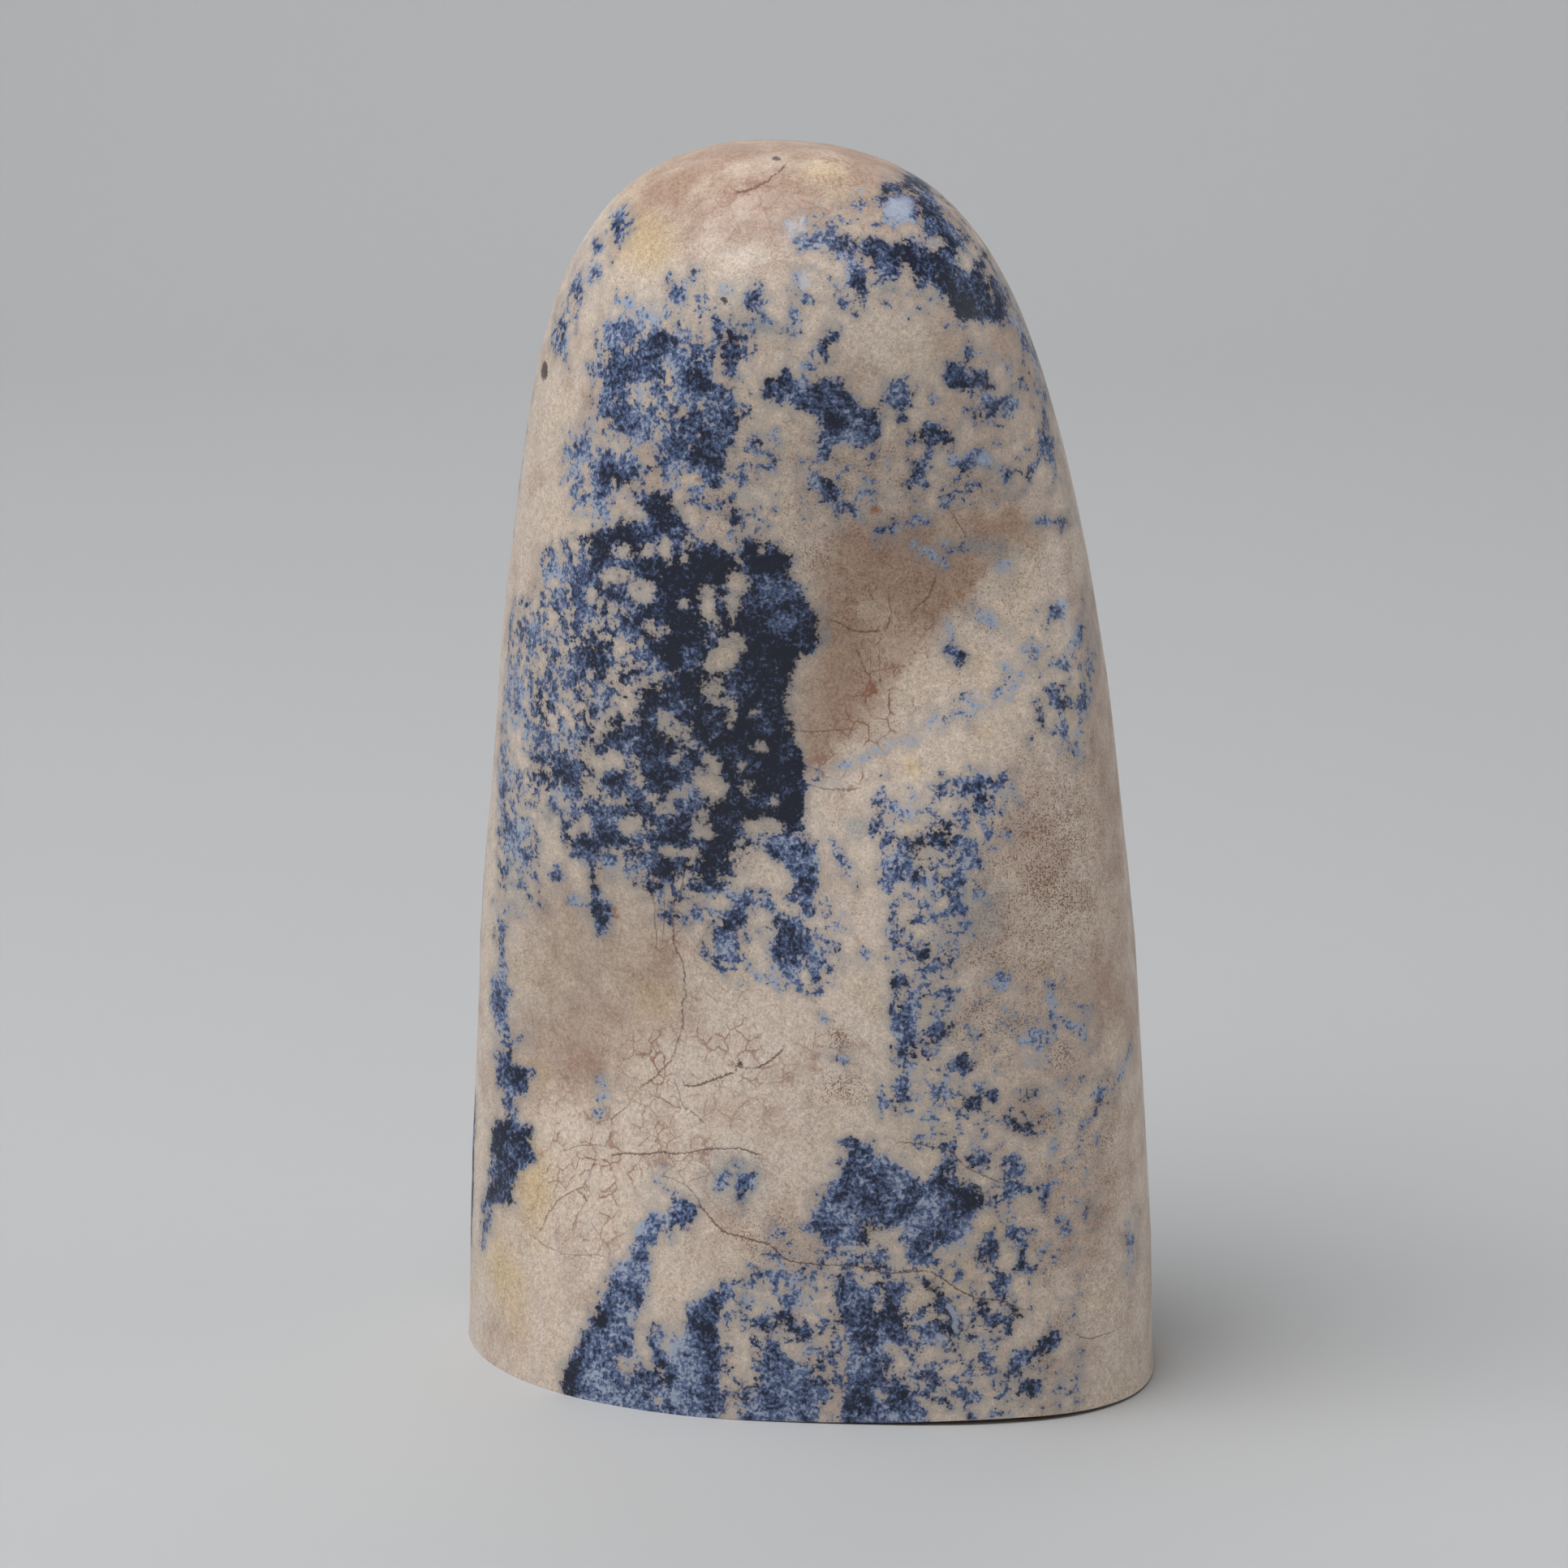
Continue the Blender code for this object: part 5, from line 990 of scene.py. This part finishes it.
class Markings:
    """The values laid on the stone's points, drawn shape by shape.

    blue says how far inside a blue shape a point lies, in millimetres, and is negative outside. ink is the
    depth of colour there, and solid says how little feldspar shows between the blue grains.
    """

    FAR = -4.0
    PLAIN_INK = 0.4
    PLAIN_SOLID = 0.7
    # How far outside and inside its outline a shape takes over the ink and the solidity
    SHAPE_EDGE = (-0.9, 0.3)
    FIELD_EDGE = (-1, 0.5)
    # The noise eats small shapes, so spots and lines are drawn larger than their sizes, and islands smaller
    SPOT_SWELL = 0.2
    LINE_SWELL = 0.12
    ISLAND_SHRINK = 0.18
    # Where two sets of markings meet, all that lies further outside than this counts the same
    MEETING_FLOOR = -2
    # Offset and width given where no crack is near, and how a crack's strength fades with the distance
    CRACK_AWAY = 2.0
    CRACK_WIDTH = 0.1
    CRACK_MARGIN = 1.5
    CRACK_FADE = (1.1, 0.6)

    def __init__(self, points):
        self.points = points
        self.blue = np.full(len(points), self.FAR)
        self.ink = np.full(len(points), self.PLAIN_INK)
        self.solid = np.full(len(points), self.PLAIN_SOLID)

    def lay(self, where, depth, cover, ink, solid):
        """Adds a blue shape over what lies there."""
        self.blue[where] = np.maximum(self.blue[where], depth)
        self.ink[where] += (ink - self.ink[where]) * cover
        self.solid[where] += (solid - self.solid[where]) * cover

    def field(self, peak, ink, solid, outline):
        """A wide stretch of flecks that never grows as thick as a shape does."""
        where, depth = self.inside(outline)
        self.lay(where, np.minimum(depth, peak), smooth(*self.FIELD_EDGE, depth), ink, solid)

    def area(self, ink, solid, outline):
        """A blue shape with an outline of its own."""
        where, depth = self.inside(outline)
        self.lay(where, depth, smooth(*self.SHAPE_EDGE, depth), ink, solid)

    def spot(self, x, z, half_length, half_width, tilt, ink, solid):
        """A small blue ellipse."""
        where, depth = self.inside_spot(x, z, half_length, half_width, tilt)
        depth = depth + self.SPOT_SWELL
        self.lay(where, depth, smooth(*self.SHAPE_EDGE, depth), ink, solid)

    def line(self, width, ink, solid, route):
        """A blue line of straight runs."""
        where = near(self.points, route)
        distance = line_offset(self.points[where], route)[1]
        depth = width / 2 + self.LINE_SWELL - distance
        self.lay(where, depth, smooth(*self.SHAPE_EDGE, depth), ink, solid)

    def island(self, x, z, half_length, half_width, tilt):
        """A feldspar ellipse left free inside the blue."""
        where, depth = self.inside_spot(x, z, half_length, half_width, tilt)
        self.blue[where] = np.minimum(self.blue[where], self.ISLAND_SHRINK - depth)

    def bay(self, outline):
        """A feldspar shape with an outline of its own, left free inside the blue."""
        where, depth = self.inside(outline)
        self.blue[where] = np.minimum(self.blue[where], -depth)

    def inside(self, outline):
        """Which points lie near an outline, and how far inside it each of them is."""
        where = near(self.points, outline)
        return where, outline_depth(self.points[where], outline)

    def inside_spot(self, x, z, half_length, half_width, tilt, spread=1, margin=3.0):
        """Which points lie near an ellipse, and how far inside it each of them is."""
        reach = max(half_length, half_width) * spread
        where = near(self.points, ((x - reach, z - reach), (x + reach, z + reach)), margin)
        return where, spot_depth(self.points[where], x, z, half_length, half_width, tilt)

    def ground(self, fields, areas):
        """Lays the loose fields first and the blue shapes over them."""
        for field in fields:
            self.field(*field)
        for area in areas:
            self.area(*area)

    def fade_to(self, other, share):
        """Gives way to another set of markings where share is one."""
        floor = self.MEETING_FLOOR
        self.blue += (np.maximum(other.blue, floor) - np.maximum(self.blue, floor)) * share
        self.ink += (other.ink - self.ink) * share
        self.solid += (other.solid - self.solid) * share

    def wash(self, areas):
        """The strongest of some soft-edged areas at each point."""
        value = np.zeros(len(self.points))
        for strength, softness, outline in areas:
            where = near(self.points, outline, margin=softness + 1)
            cover = strength * smooth(-softness, softness, outline_depth(self.points[where], outline))
            value[where] = np.maximum(value[where], cover)
        return value

    def tint(self, spots, softness=0.5):
        """The strongest of some soft spots at each point."""
        value = np.zeros(len(self.points))
        for x, z, half_length, half_width, tilt, *strength in spots:
            where, depth = self.inside_spot(x, z, half_length, half_width, tilt, 1 + softness, margin=1)
            edge = softness * min(half_length, half_width)
            cover = (strength[0] if strength else 1) * smooth(-edge, edge, depth)
            value[where] = np.maximum(value[where], cover)
        return value

    def cracks(self, cracks):
        """Signed offset from the nearest crack, and that crack's width and strength."""
        offset = np.full(len(self.points), self.CRACK_AWAY)
        nearest = np.full(len(self.points), self.CRACK_AWAY)
        strength = np.zeros(len(self.points))
        width = np.full(len(self.points), self.CRACK_WIDTH)
        for crack_width, crack_strength, route in cracks:
            where = near(self.points, route, self.CRACK_MARGIN)
            side, distance = line_offset(self.points[where], route)
            closer = distance < nearest[where]
            chosen = where[closer]
            nearest[chosen] = distance[closer]
            offset[chosen] = side[closer]
            width[chosen] = crack_width
            strength[chosen] = crack_strength * smooth(*self.CRACK_FADE, distance[closer])
        return offset, width, strength


def wavering(points, size, reach, start):
    """A smooth random shift of each point, in millimetres."""
    shift = [noise.noise_vector(Vector(point) / size + Vector((start, 0, 0))) for point in points]
    return np.array(shift) * reach


def lay_markings(mesh):
    """Works out every marking on the stone's points and stores it as attributes."""
    count = len(mesh.vertices)
    places = np.empty(count * 3)
    mesh.vertices.foreach_get("co", places)
    places = places.reshape(-1, 3) / MM
    normals = np.empty(count * 3)
    mesh.vertex_normals.foreach_get("vector", normals)
    normals = normals.reshape(-1, 3)
    noise.seed_set(NOISE_SEED)
    wander = wavering(places, *WANDER)
    turned = np.maximum(places[:, 1] + UNROLL_DEPTH, 0)
    outward = np.hypot(normals[:, 0], normals[:, 2]) + FLAT_GUARD
    front = np.column_stack((
        places[:, 0] + normals[:, 0] / outward * turned + wander[:, 0],
        places[:, 2] + normals[:, 2] / outward * turned + wander[:, 2]))
    broad = wavering(places, *BROAD_WANDER) + wavering(places, *MIDDLE_WANDER)
    front += broad[:, :2] * smooth(*SIDE_WANDER, turned)[:, None]
    marks = Markings(front)
    marks.ground(FIELDS, AREAS + SIDE_AREAS)
    for island in ISLANDS:
        marks.island(*island)
    for outline in BAYS:
        marks.bay(outline)
    for spot in SPOTS:
        marks.spot(*spot)
    for line in LINES:
        marks.line(*line)
    backward = smooth(*BACK_TURN, normals[:, 1])
    downward = smooth(*BASE_TURN, -normals[:, 2])
    back = Markings(places[:, (0, 2)] + wander[:, :2] + broad[:, :2])
    back.ground(BACK_FIELDS, BACK_AREAS)
    marks.fade_to(back, backward)
    base = Markings(places[:, :2] + wander[:, :2] + broad[:, :2])
    base.ground(BASE_FIELDS, BASE_AREAS)
    marks.fade_to(base, downward)
    offset, width, strength = marks.cracks(CRACKS)
    milk = marks.tint(MILK)
    for width_here, strength_here, route in MILK_LINES:
        distance = line_offset(marks.points, route)[1]
        milk = np.maximum(milk, strength_here * smooth(width_here * 0.8, width_here * 0.3, distance))
    # the brown tints together with the painted shade in the hollows and over the top
    brown = np.maximum(marks.tint(BROWN, softness=0.9), marks.wash(PAINTED_SHADE))
    values = {
        "blue": marks.blue,
        "ink": marks.ink,
        "solid": marks.solid,
        "crack": offset,
        "crack_width": width,
        "cracked": strength * (1 - backward),
        "milk": milk,
        "cream": marks.tint(CREAM, softness=0.8),
        # brown tints and painted shade
        "brown": np.maximum(brown, backward * BACK_BROWN),
        "rust": marks.tint(RUST, softness=0.9),
        "grain": marks.tint(GRAINS, softness=0.4),
        "craze": np.maximum(marks.tint(CRAZE, softness=0.9), backward * BACK_CRAZE),
        "pitted": marks.tint(PITTED, softness=0.9),
        "haze": marks.tint(HAZE, softness=0.9),
    }
    for name, value in values.items():
        layer = mesh.attributes.new(name, "FLOAT", "POINT")
        layer.data.foreach_set("value", value.astype(np.float32))


def stone_finish(look):
    """The polished stone: feldspar with its pits, craze and stains, painted shade in its hollows and over its
    top, and granular blue sodalite.
    """
    finish = Finish("polished_sodalite")
    metres = finish.add("ShaderNodeTexCoord", out="Object")
    place = finish.add("ShaderNodeVectorMath", {"operation": "SCALE"}, {0: metres, "Scale": 1 / MM})
    # soft noise of several sizes, in millimetres, from fine pepper to slow drifts
    clumps = finish.clouds(place, 1.1, detail=3, roughness=0.65)
    fine = finish.clouds(place, 0.28, roughness=0.6)
    grain = finish.clouds(place, 0.55, detail=3, roughness=0.7, distortion=0.5)
    patches = finish.clouds(place, 2.6)
    slow = finish.clouds(place, 7)
    pepper = finish.clouds(place, 0.17, detail=1)

    # where the blue lies: the drawn depth, broken up more where it is loose, and a glassy rim round it
    loose = 1 - finish.attribute("solid")
    reach = finish.attribute("blue").at_most(0.8) - loose * 0.6 + clumps * (2 + loose * 6)
    reach = reach + patches * loose * 3.5 + fine * (1.1 + loose * 1.3)
    mask = reach.rise(-0.25, 0.3)
    halo = reach.rise(-1.1, -0.1) * (1 - mask)

    # the sodalite, from cloudy pale through blue to navy, one tone for each small crystal
    ink = finish.attribute("ink")
    crystals = finish.cells(place, 0.34, "F1", "Color")
    crystal = finish.add("ShaderNodeSeparateColor", None, {"Color": crystals}) - 0.5
    inside = finish.attribute("blue").at_least(-0.4).at_most(0.8)
    tone = ink + inside * 0.3 + grain * 2.4 + fine * 1.4 + patches * 1.8 + crystal * 0.22 - 0.29
    sodalite = finish.mix(tone.rise(-0.12, 0.5), look.pale_blue, look.blue)
    sodalite = finish.mix(tone.rise(0.35, 0.98), sodalite, look.navy)

    # the feldspar with its brown, cream and grey stretches; the brown also paints the shade in the hollows
    # and over the top
    brown = finish.attribute("brown") + slow * 1.6 + patches * 0.8
    feldspar = finish.mix(brown.limited(), look.feldspar_pale, look.feldspar_brown_and_shade)
    cream = finish.attribute("cream") * 0.8 + slow * -0.8
    feldspar = finish.mix(cream.limited(), feldspar, look.cream)
    feldspar = finish.mix(finish.attribute("haze") * (0.6 + clumps * 2), feldspar, look.haze)
    mottle = 0.99 + grain * 0.9 + fine * 0.8 + pepper * 0.7
    feldspar = finish.mix(1.0, feldspar, mottle, "MULTIPLY")

    # dark pits, then the craze along the edges of bent cells
    pitted = finish.attribute("pitted")
    pits = (pepper + patches * 0.3 + pitted * 0.1).rise(0.11, 0.17) * (0.5 + pitted * 0.4)
    feldspar = finish.mix(pits, feldspar, look.pit)
    bend = finish.add("ShaderNodeTexNoise", None, {"Vector": place, "Scale": 0.9, "Detail": 2.0}, out="Color")
    bent = finish.add("ShaderNodeVectorMath", {"operation": "ADD"}, {0: place, 1: bend})
    lines = finish.cells(bent, 1.9, "DISTANCE_TO_EDGE").fall(0.012, 0.06)
    craze = lines * patches.rise(-0.1, 0.04) * finish.attribute("craze")
    feldspar = finish.mix(craze * 0.9, feldspar, look.craze)

    rust = finish.attribute("rust") + clumps * 1.5
    feldspar = finish.mix(rust.rise(0.25, 0.9) * 0.85, feldspar, look.rust)
    feldspar = finish.mix(halo * (0.3 + ink * 0.3), feldspar, look.halo)

    # the blue over the feldspar, and milky flecks, cracks and dark grains over both
    base = finish.mix(mask, feldspar, sodalite)
    milk = (finish.attribute("milk") + grain * 2).rise(0.3, 0.9)
    base = finish.mix(milk * 0.6, base, look.milk)

    crack_reach = abs(finish.attribute("crack") + fine * 0.5) - finish.attribute("crack_width") * 0.3
    crack = crack_reach.fall(-0.02, 0.06) * finish.attribute("cracked") * clumps.rise(-0.2, -0.04)
    base = finish.mix(crack * 0.8, base, look.crack)
    dark_grain = (finish.attribute("grain") + fine * 1.5).rise(0.35, 0.7)
    base = finish.mix(dark_grain * 0.9, base, look.grain)

    # small relief, in millimetres, and an uneven polish
    height = grain * 0.02 + pits * -0.02 + crack * -0.05
    bump = finish.add("ShaderNodeBump", None, {"Strength": 1.0, "Distance": MM, "Height": height})
    dullness = look.gloss + grain * 0.25 + patches * 0.3 + pits * 0.15 + crack * 0.2
    surface = finish.add("ShaderNodeBsdfPrincipled", None, {
        "Base Color": base, "Roughness": dullness, "Normal": bump, "IOR": 1.5})
    finish.add("ShaderNodeOutputMaterial", None, {"Surface": surface})
    return finish.material


def deselect_all():
    """Leaves nothing selected, in object mode."""
    if bpy.context.object and bpy.context.object.mode != "OBJECT":
        bpy.ops.object.mode_set(mode="OBJECT")
    bpy.ops.object.select_all(action="DESELECT")


def copy_of_node(node, name):
    """A loose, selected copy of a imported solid, in its place."""
    deselect_all()
    frame["nodes"][node].select_set(True)
    bpy.context.view_layer.objects.active = frame["nodes"][node]
    bpy.ops.object.duplicate()
    piece = bpy.context.object
    bpy.ops.object.parent_clear(type="CLEAR_KEEP_TRANSFORM")
    for key in list(piece.keys()):
        del piece[key]
    piece.name = name
    piece.data.name = name
    piece.data.materials.clear()
    return piece


def merge_faces(weld=1e-6, angle=math.radians(60)):
    """Joins the loose triangles of the copy and turns them back into four-sided faces, in edit mode."""
    bpy.ops.mesh.select_all(action="SELECT")
    bpy.ops.mesh.remove_doubles(threshold=weld)
    bpy.ops.mesh.tris_convert_to_quads(face_threshold=angle, shape_threshold=angle)


def round_rim(piece, width):
    """Selects the edge round the sawn base and bevels it, in edit mode."""
    bpy.ops.mesh.select_mode(type="EDGE")
    bpy.ops.mesh.select_all(action="DESELECT")
    mesh = bmesh.from_edit_mesh(piece.data)
    for edge in mesh.edges:
        downward = [face.normal.z < FACES_DOWN for face in edge.link_faces]
        edge.select_set(len(set(downward)) == 2)
    bmesh.update_edit_mesh(piece.data)
    bpy.ops.mesh.bevel(offset=width, segments=RIM_SEGMENTS, affect="EDGES", clamp_overlap=True)


def apply_displacement(piece, name, size, height):
    """Raises and lowers the surface by soft clouds of the given size."""
    texture = bpy.data.textures.new(name, "CLOUDS")
    texture.noise_scale = size
    texture.noise_depth = 1
    modifier = piece.modifiers.new(name, "DISPLACE")
    modifier.texture = texture
    modifier.texture_coords = "LOCAL"
    modifier.mid_level = 0.5
    modifier.strength = height
    bpy.ops.object.modifier_apply(modifier=name)


class FREEFORM_OT_polished_stone(bpy.types.Operator):
    """Shape the stone on a copy of its solid, lay its markings and finish it"""

    bl_idname = "freeform.polished_stone"
    bl_label = "Polished Stone"
    bl_options = {"REGISTER", "UNDO"}

    def execute(self, context):
        look = context.scene.freeform_stone
        piece = copy_of_node(NODE, PIECE)
        bpy.ops.object.mode_set(mode="EDIT")
        merge_faces()
        round_rim(piece, look.rim)
        bpy.ops.object.mode_set(mode="OBJECT")
        smoothing = piece.modifiers.new("smoothing", "SUBSURF")
        smoothing.levels = look.levels
        smoothing.render_levels = look.levels
        bpy.ops.object.modifier_apply(modifier="smoothing")
        apply_displacement(piece, "waves", look.wave_size, look.wave)
        apply_displacement(piece, "ripples", look.ripple_size, look.ripple)
        bpy.ops.object.shade_smooth()
        lay_markings(piece.data)
        piece.data.materials.append(stone_finish(look))
        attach(piece, "root")
        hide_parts(NODE)
        return {"FINISHED"}


def add_backdrop(stage):
    """One sheet that is the floor, and sweeps up into the wall behind the stone."""
    deselect_all()
    half = stage.floor_depth
    back_edge = half * 0.9
    bpy.ops.mesh.primitive_plane_add(size=1, location=(0, 0, 0))
    backdrop = bpy.context.object
    backdrop.name = "backdrop"
    bpy.ops.object.mode_set(mode="EDIT")
    bpy.ops.transform.resize(value=(stage.floor_width, half * 2, 1))
    mesh = bmesh.from_edit_mesh(backdrop.data)
    for edge in mesh.edges:
        edge.select_set(all(vertex.co.y > back_edge for vertex in edge.verts))
    bmesh.update_edit_mesh(backdrop.data)
    bpy.ops.mesh.extrude_region_move(TRANSFORM_OT_translate={"value": (0, 0, stage.wall_height)})
    bpy.ops.mesh.select_all(action="DESELECT")
    mesh = bmesh.from_edit_mesh(backdrop.data)
    for edge in mesh.edges:
        edge.select_set(all(
            vertex.co.y > back_edge and vertex.co.z < stage.wall_height / 2 for vertex in edge.verts))
    bmesh.update_edit_mesh(backdrop.data)
    bpy.ops.mesh.bevel(offset=stage.sweep, segments=SWEEP_SEGMENTS, affect="EDGES")
    bpy.ops.object.mode_set(mode="OBJECT")
    bpy.ops.object.shade_smooth()
    backdrop.data.materials.append(floor_finish(stage))


def floor_finish(stage):
    """A plain pale, quite matt sheet."""
    finish = Finish("pale_sheet")
    surface = finish.add("ShaderNodeBsdfPrincipled", None, {
        "Base Color": (*stage.floor, 1.0), "Roughness": 0.95, "Specular IOR Level": 0.2})
    finish.add("ShaderNodeOutputMaterial", None, {"Surface": surface})
    return finish.material


def add_soft_light(name, place, aim, size, power):
    """A square soft light that looks at a point."""
    deselect_all()
    bpy.ops.object.light_add(type="AREA", location=place)
    lamp = bpy.context.object
    lamp.name = name
    lamp.data.shape = "SQUARE"
    lamp.data.size = size
    lamp.data.energy = power
    lamp.rotation_euler = (Vector(aim) - Vector(place)).to_track_quat("-Z", "Y").to_euler()


class FREEFORM_OT_stage(bpy.types.Operator):
    """Set the plain backdrop, the soft lights and the camera"""

    bl_idname = "freeform.stage"
    bl_label = "Studio Stage"
    bl_options = {"REGISTER", "UNDO"}

    def execute(self, context):
        stage = context.scene.freeform_stage
        add_backdrop(stage)
        middle = Vector((0, 0, STONE_HEIGHT / 2))
        add_soft_light("top_light", TOP_LIGHT_PLACE, middle, stage.top_size, stage.top_power)
        add_soft_light("right_fill", RIGHT_FILL_PLACE, middle, RIGHT_FILL_SIZE, stage.fill_power)
        add_soft_light("wall_light", WALL_LIGHT_PLACE, WALL_LIGHT_AIM, WALL_LIGHT_SIZE, stage.wall_power)
        room = bpy.data.worlds.new("room")
        room.use_nodes = True
        light = room.node_tree.nodes["Background"]
        light.inputs["Color"].default_value = (1, 1, 1, 1)
        light.inputs["Strength"].default_value = stage.room
        context.scene.world = room
        deselect_all()
        bpy.ops.object.camera_add(location=stage.camera_place, rotation=(math.pi / 2 - stage.pitch, 0, 0))
        camera = bpy.context.object
        camera.name = "camera"
        camera.data.lens = stage.lens
        camera.data.sensor_width = SENSOR_WIDTH
        context.scene.camera = camera
        context.scene.view_settings.view_transform = "Standard"
        return {"FINISHED"}


class FREEFORM_PT_panel(bpy.types.Panel):
    """Lists the operators and what they read"""

    bl_idname = "FREEFORM_PT_panel"
    bl_label = "Sodalite Freeform"
    bl_space_type = "VIEW_3D"
    bl_region_type = "UI"
    bl_category = "Freeform"

    def draw(self, context):
        for operator, group in (
                ("freeform.polished_stone", context.scene.freeform_stone),
                ("freeform.stage", context.scene.freeform_stage)):
            box = self.layout.box()
            box.operator(operator)
            for name in group.__annotations__:
                box.prop(group, name)


CLASSES = (
    FREEFORM_PG_stone, FREEFORM_PG_stage, FREEFORM_OT_polished_stone, FREEFORM_OT_stage, FREEFORM_PT_panel)


def register():
    for item in CLASSES:
        bpy.utils.register_class(item)
    bpy.types.Scene.freeform_stone = bpy.props.PointerProperty(type=FREEFORM_PG_stone)
    bpy.types.Scene.freeform_stage = bpy.props.PointerProperty(type=FREEFORM_PG_stage)


def unregister():
    del bpy.types.Scene.freeform_stage
    del bpy.types.Scene.freeform_stone
    for item in reversed(CLASSES):
        bpy.utils.unregister_class(item)


def main():
    """Registers the add-on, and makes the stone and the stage."""
    register()
    bpy.ops.freeform.polished_stone()
    bpy.ops.freeform.stage()


if __name__ == "__main__":
    main()
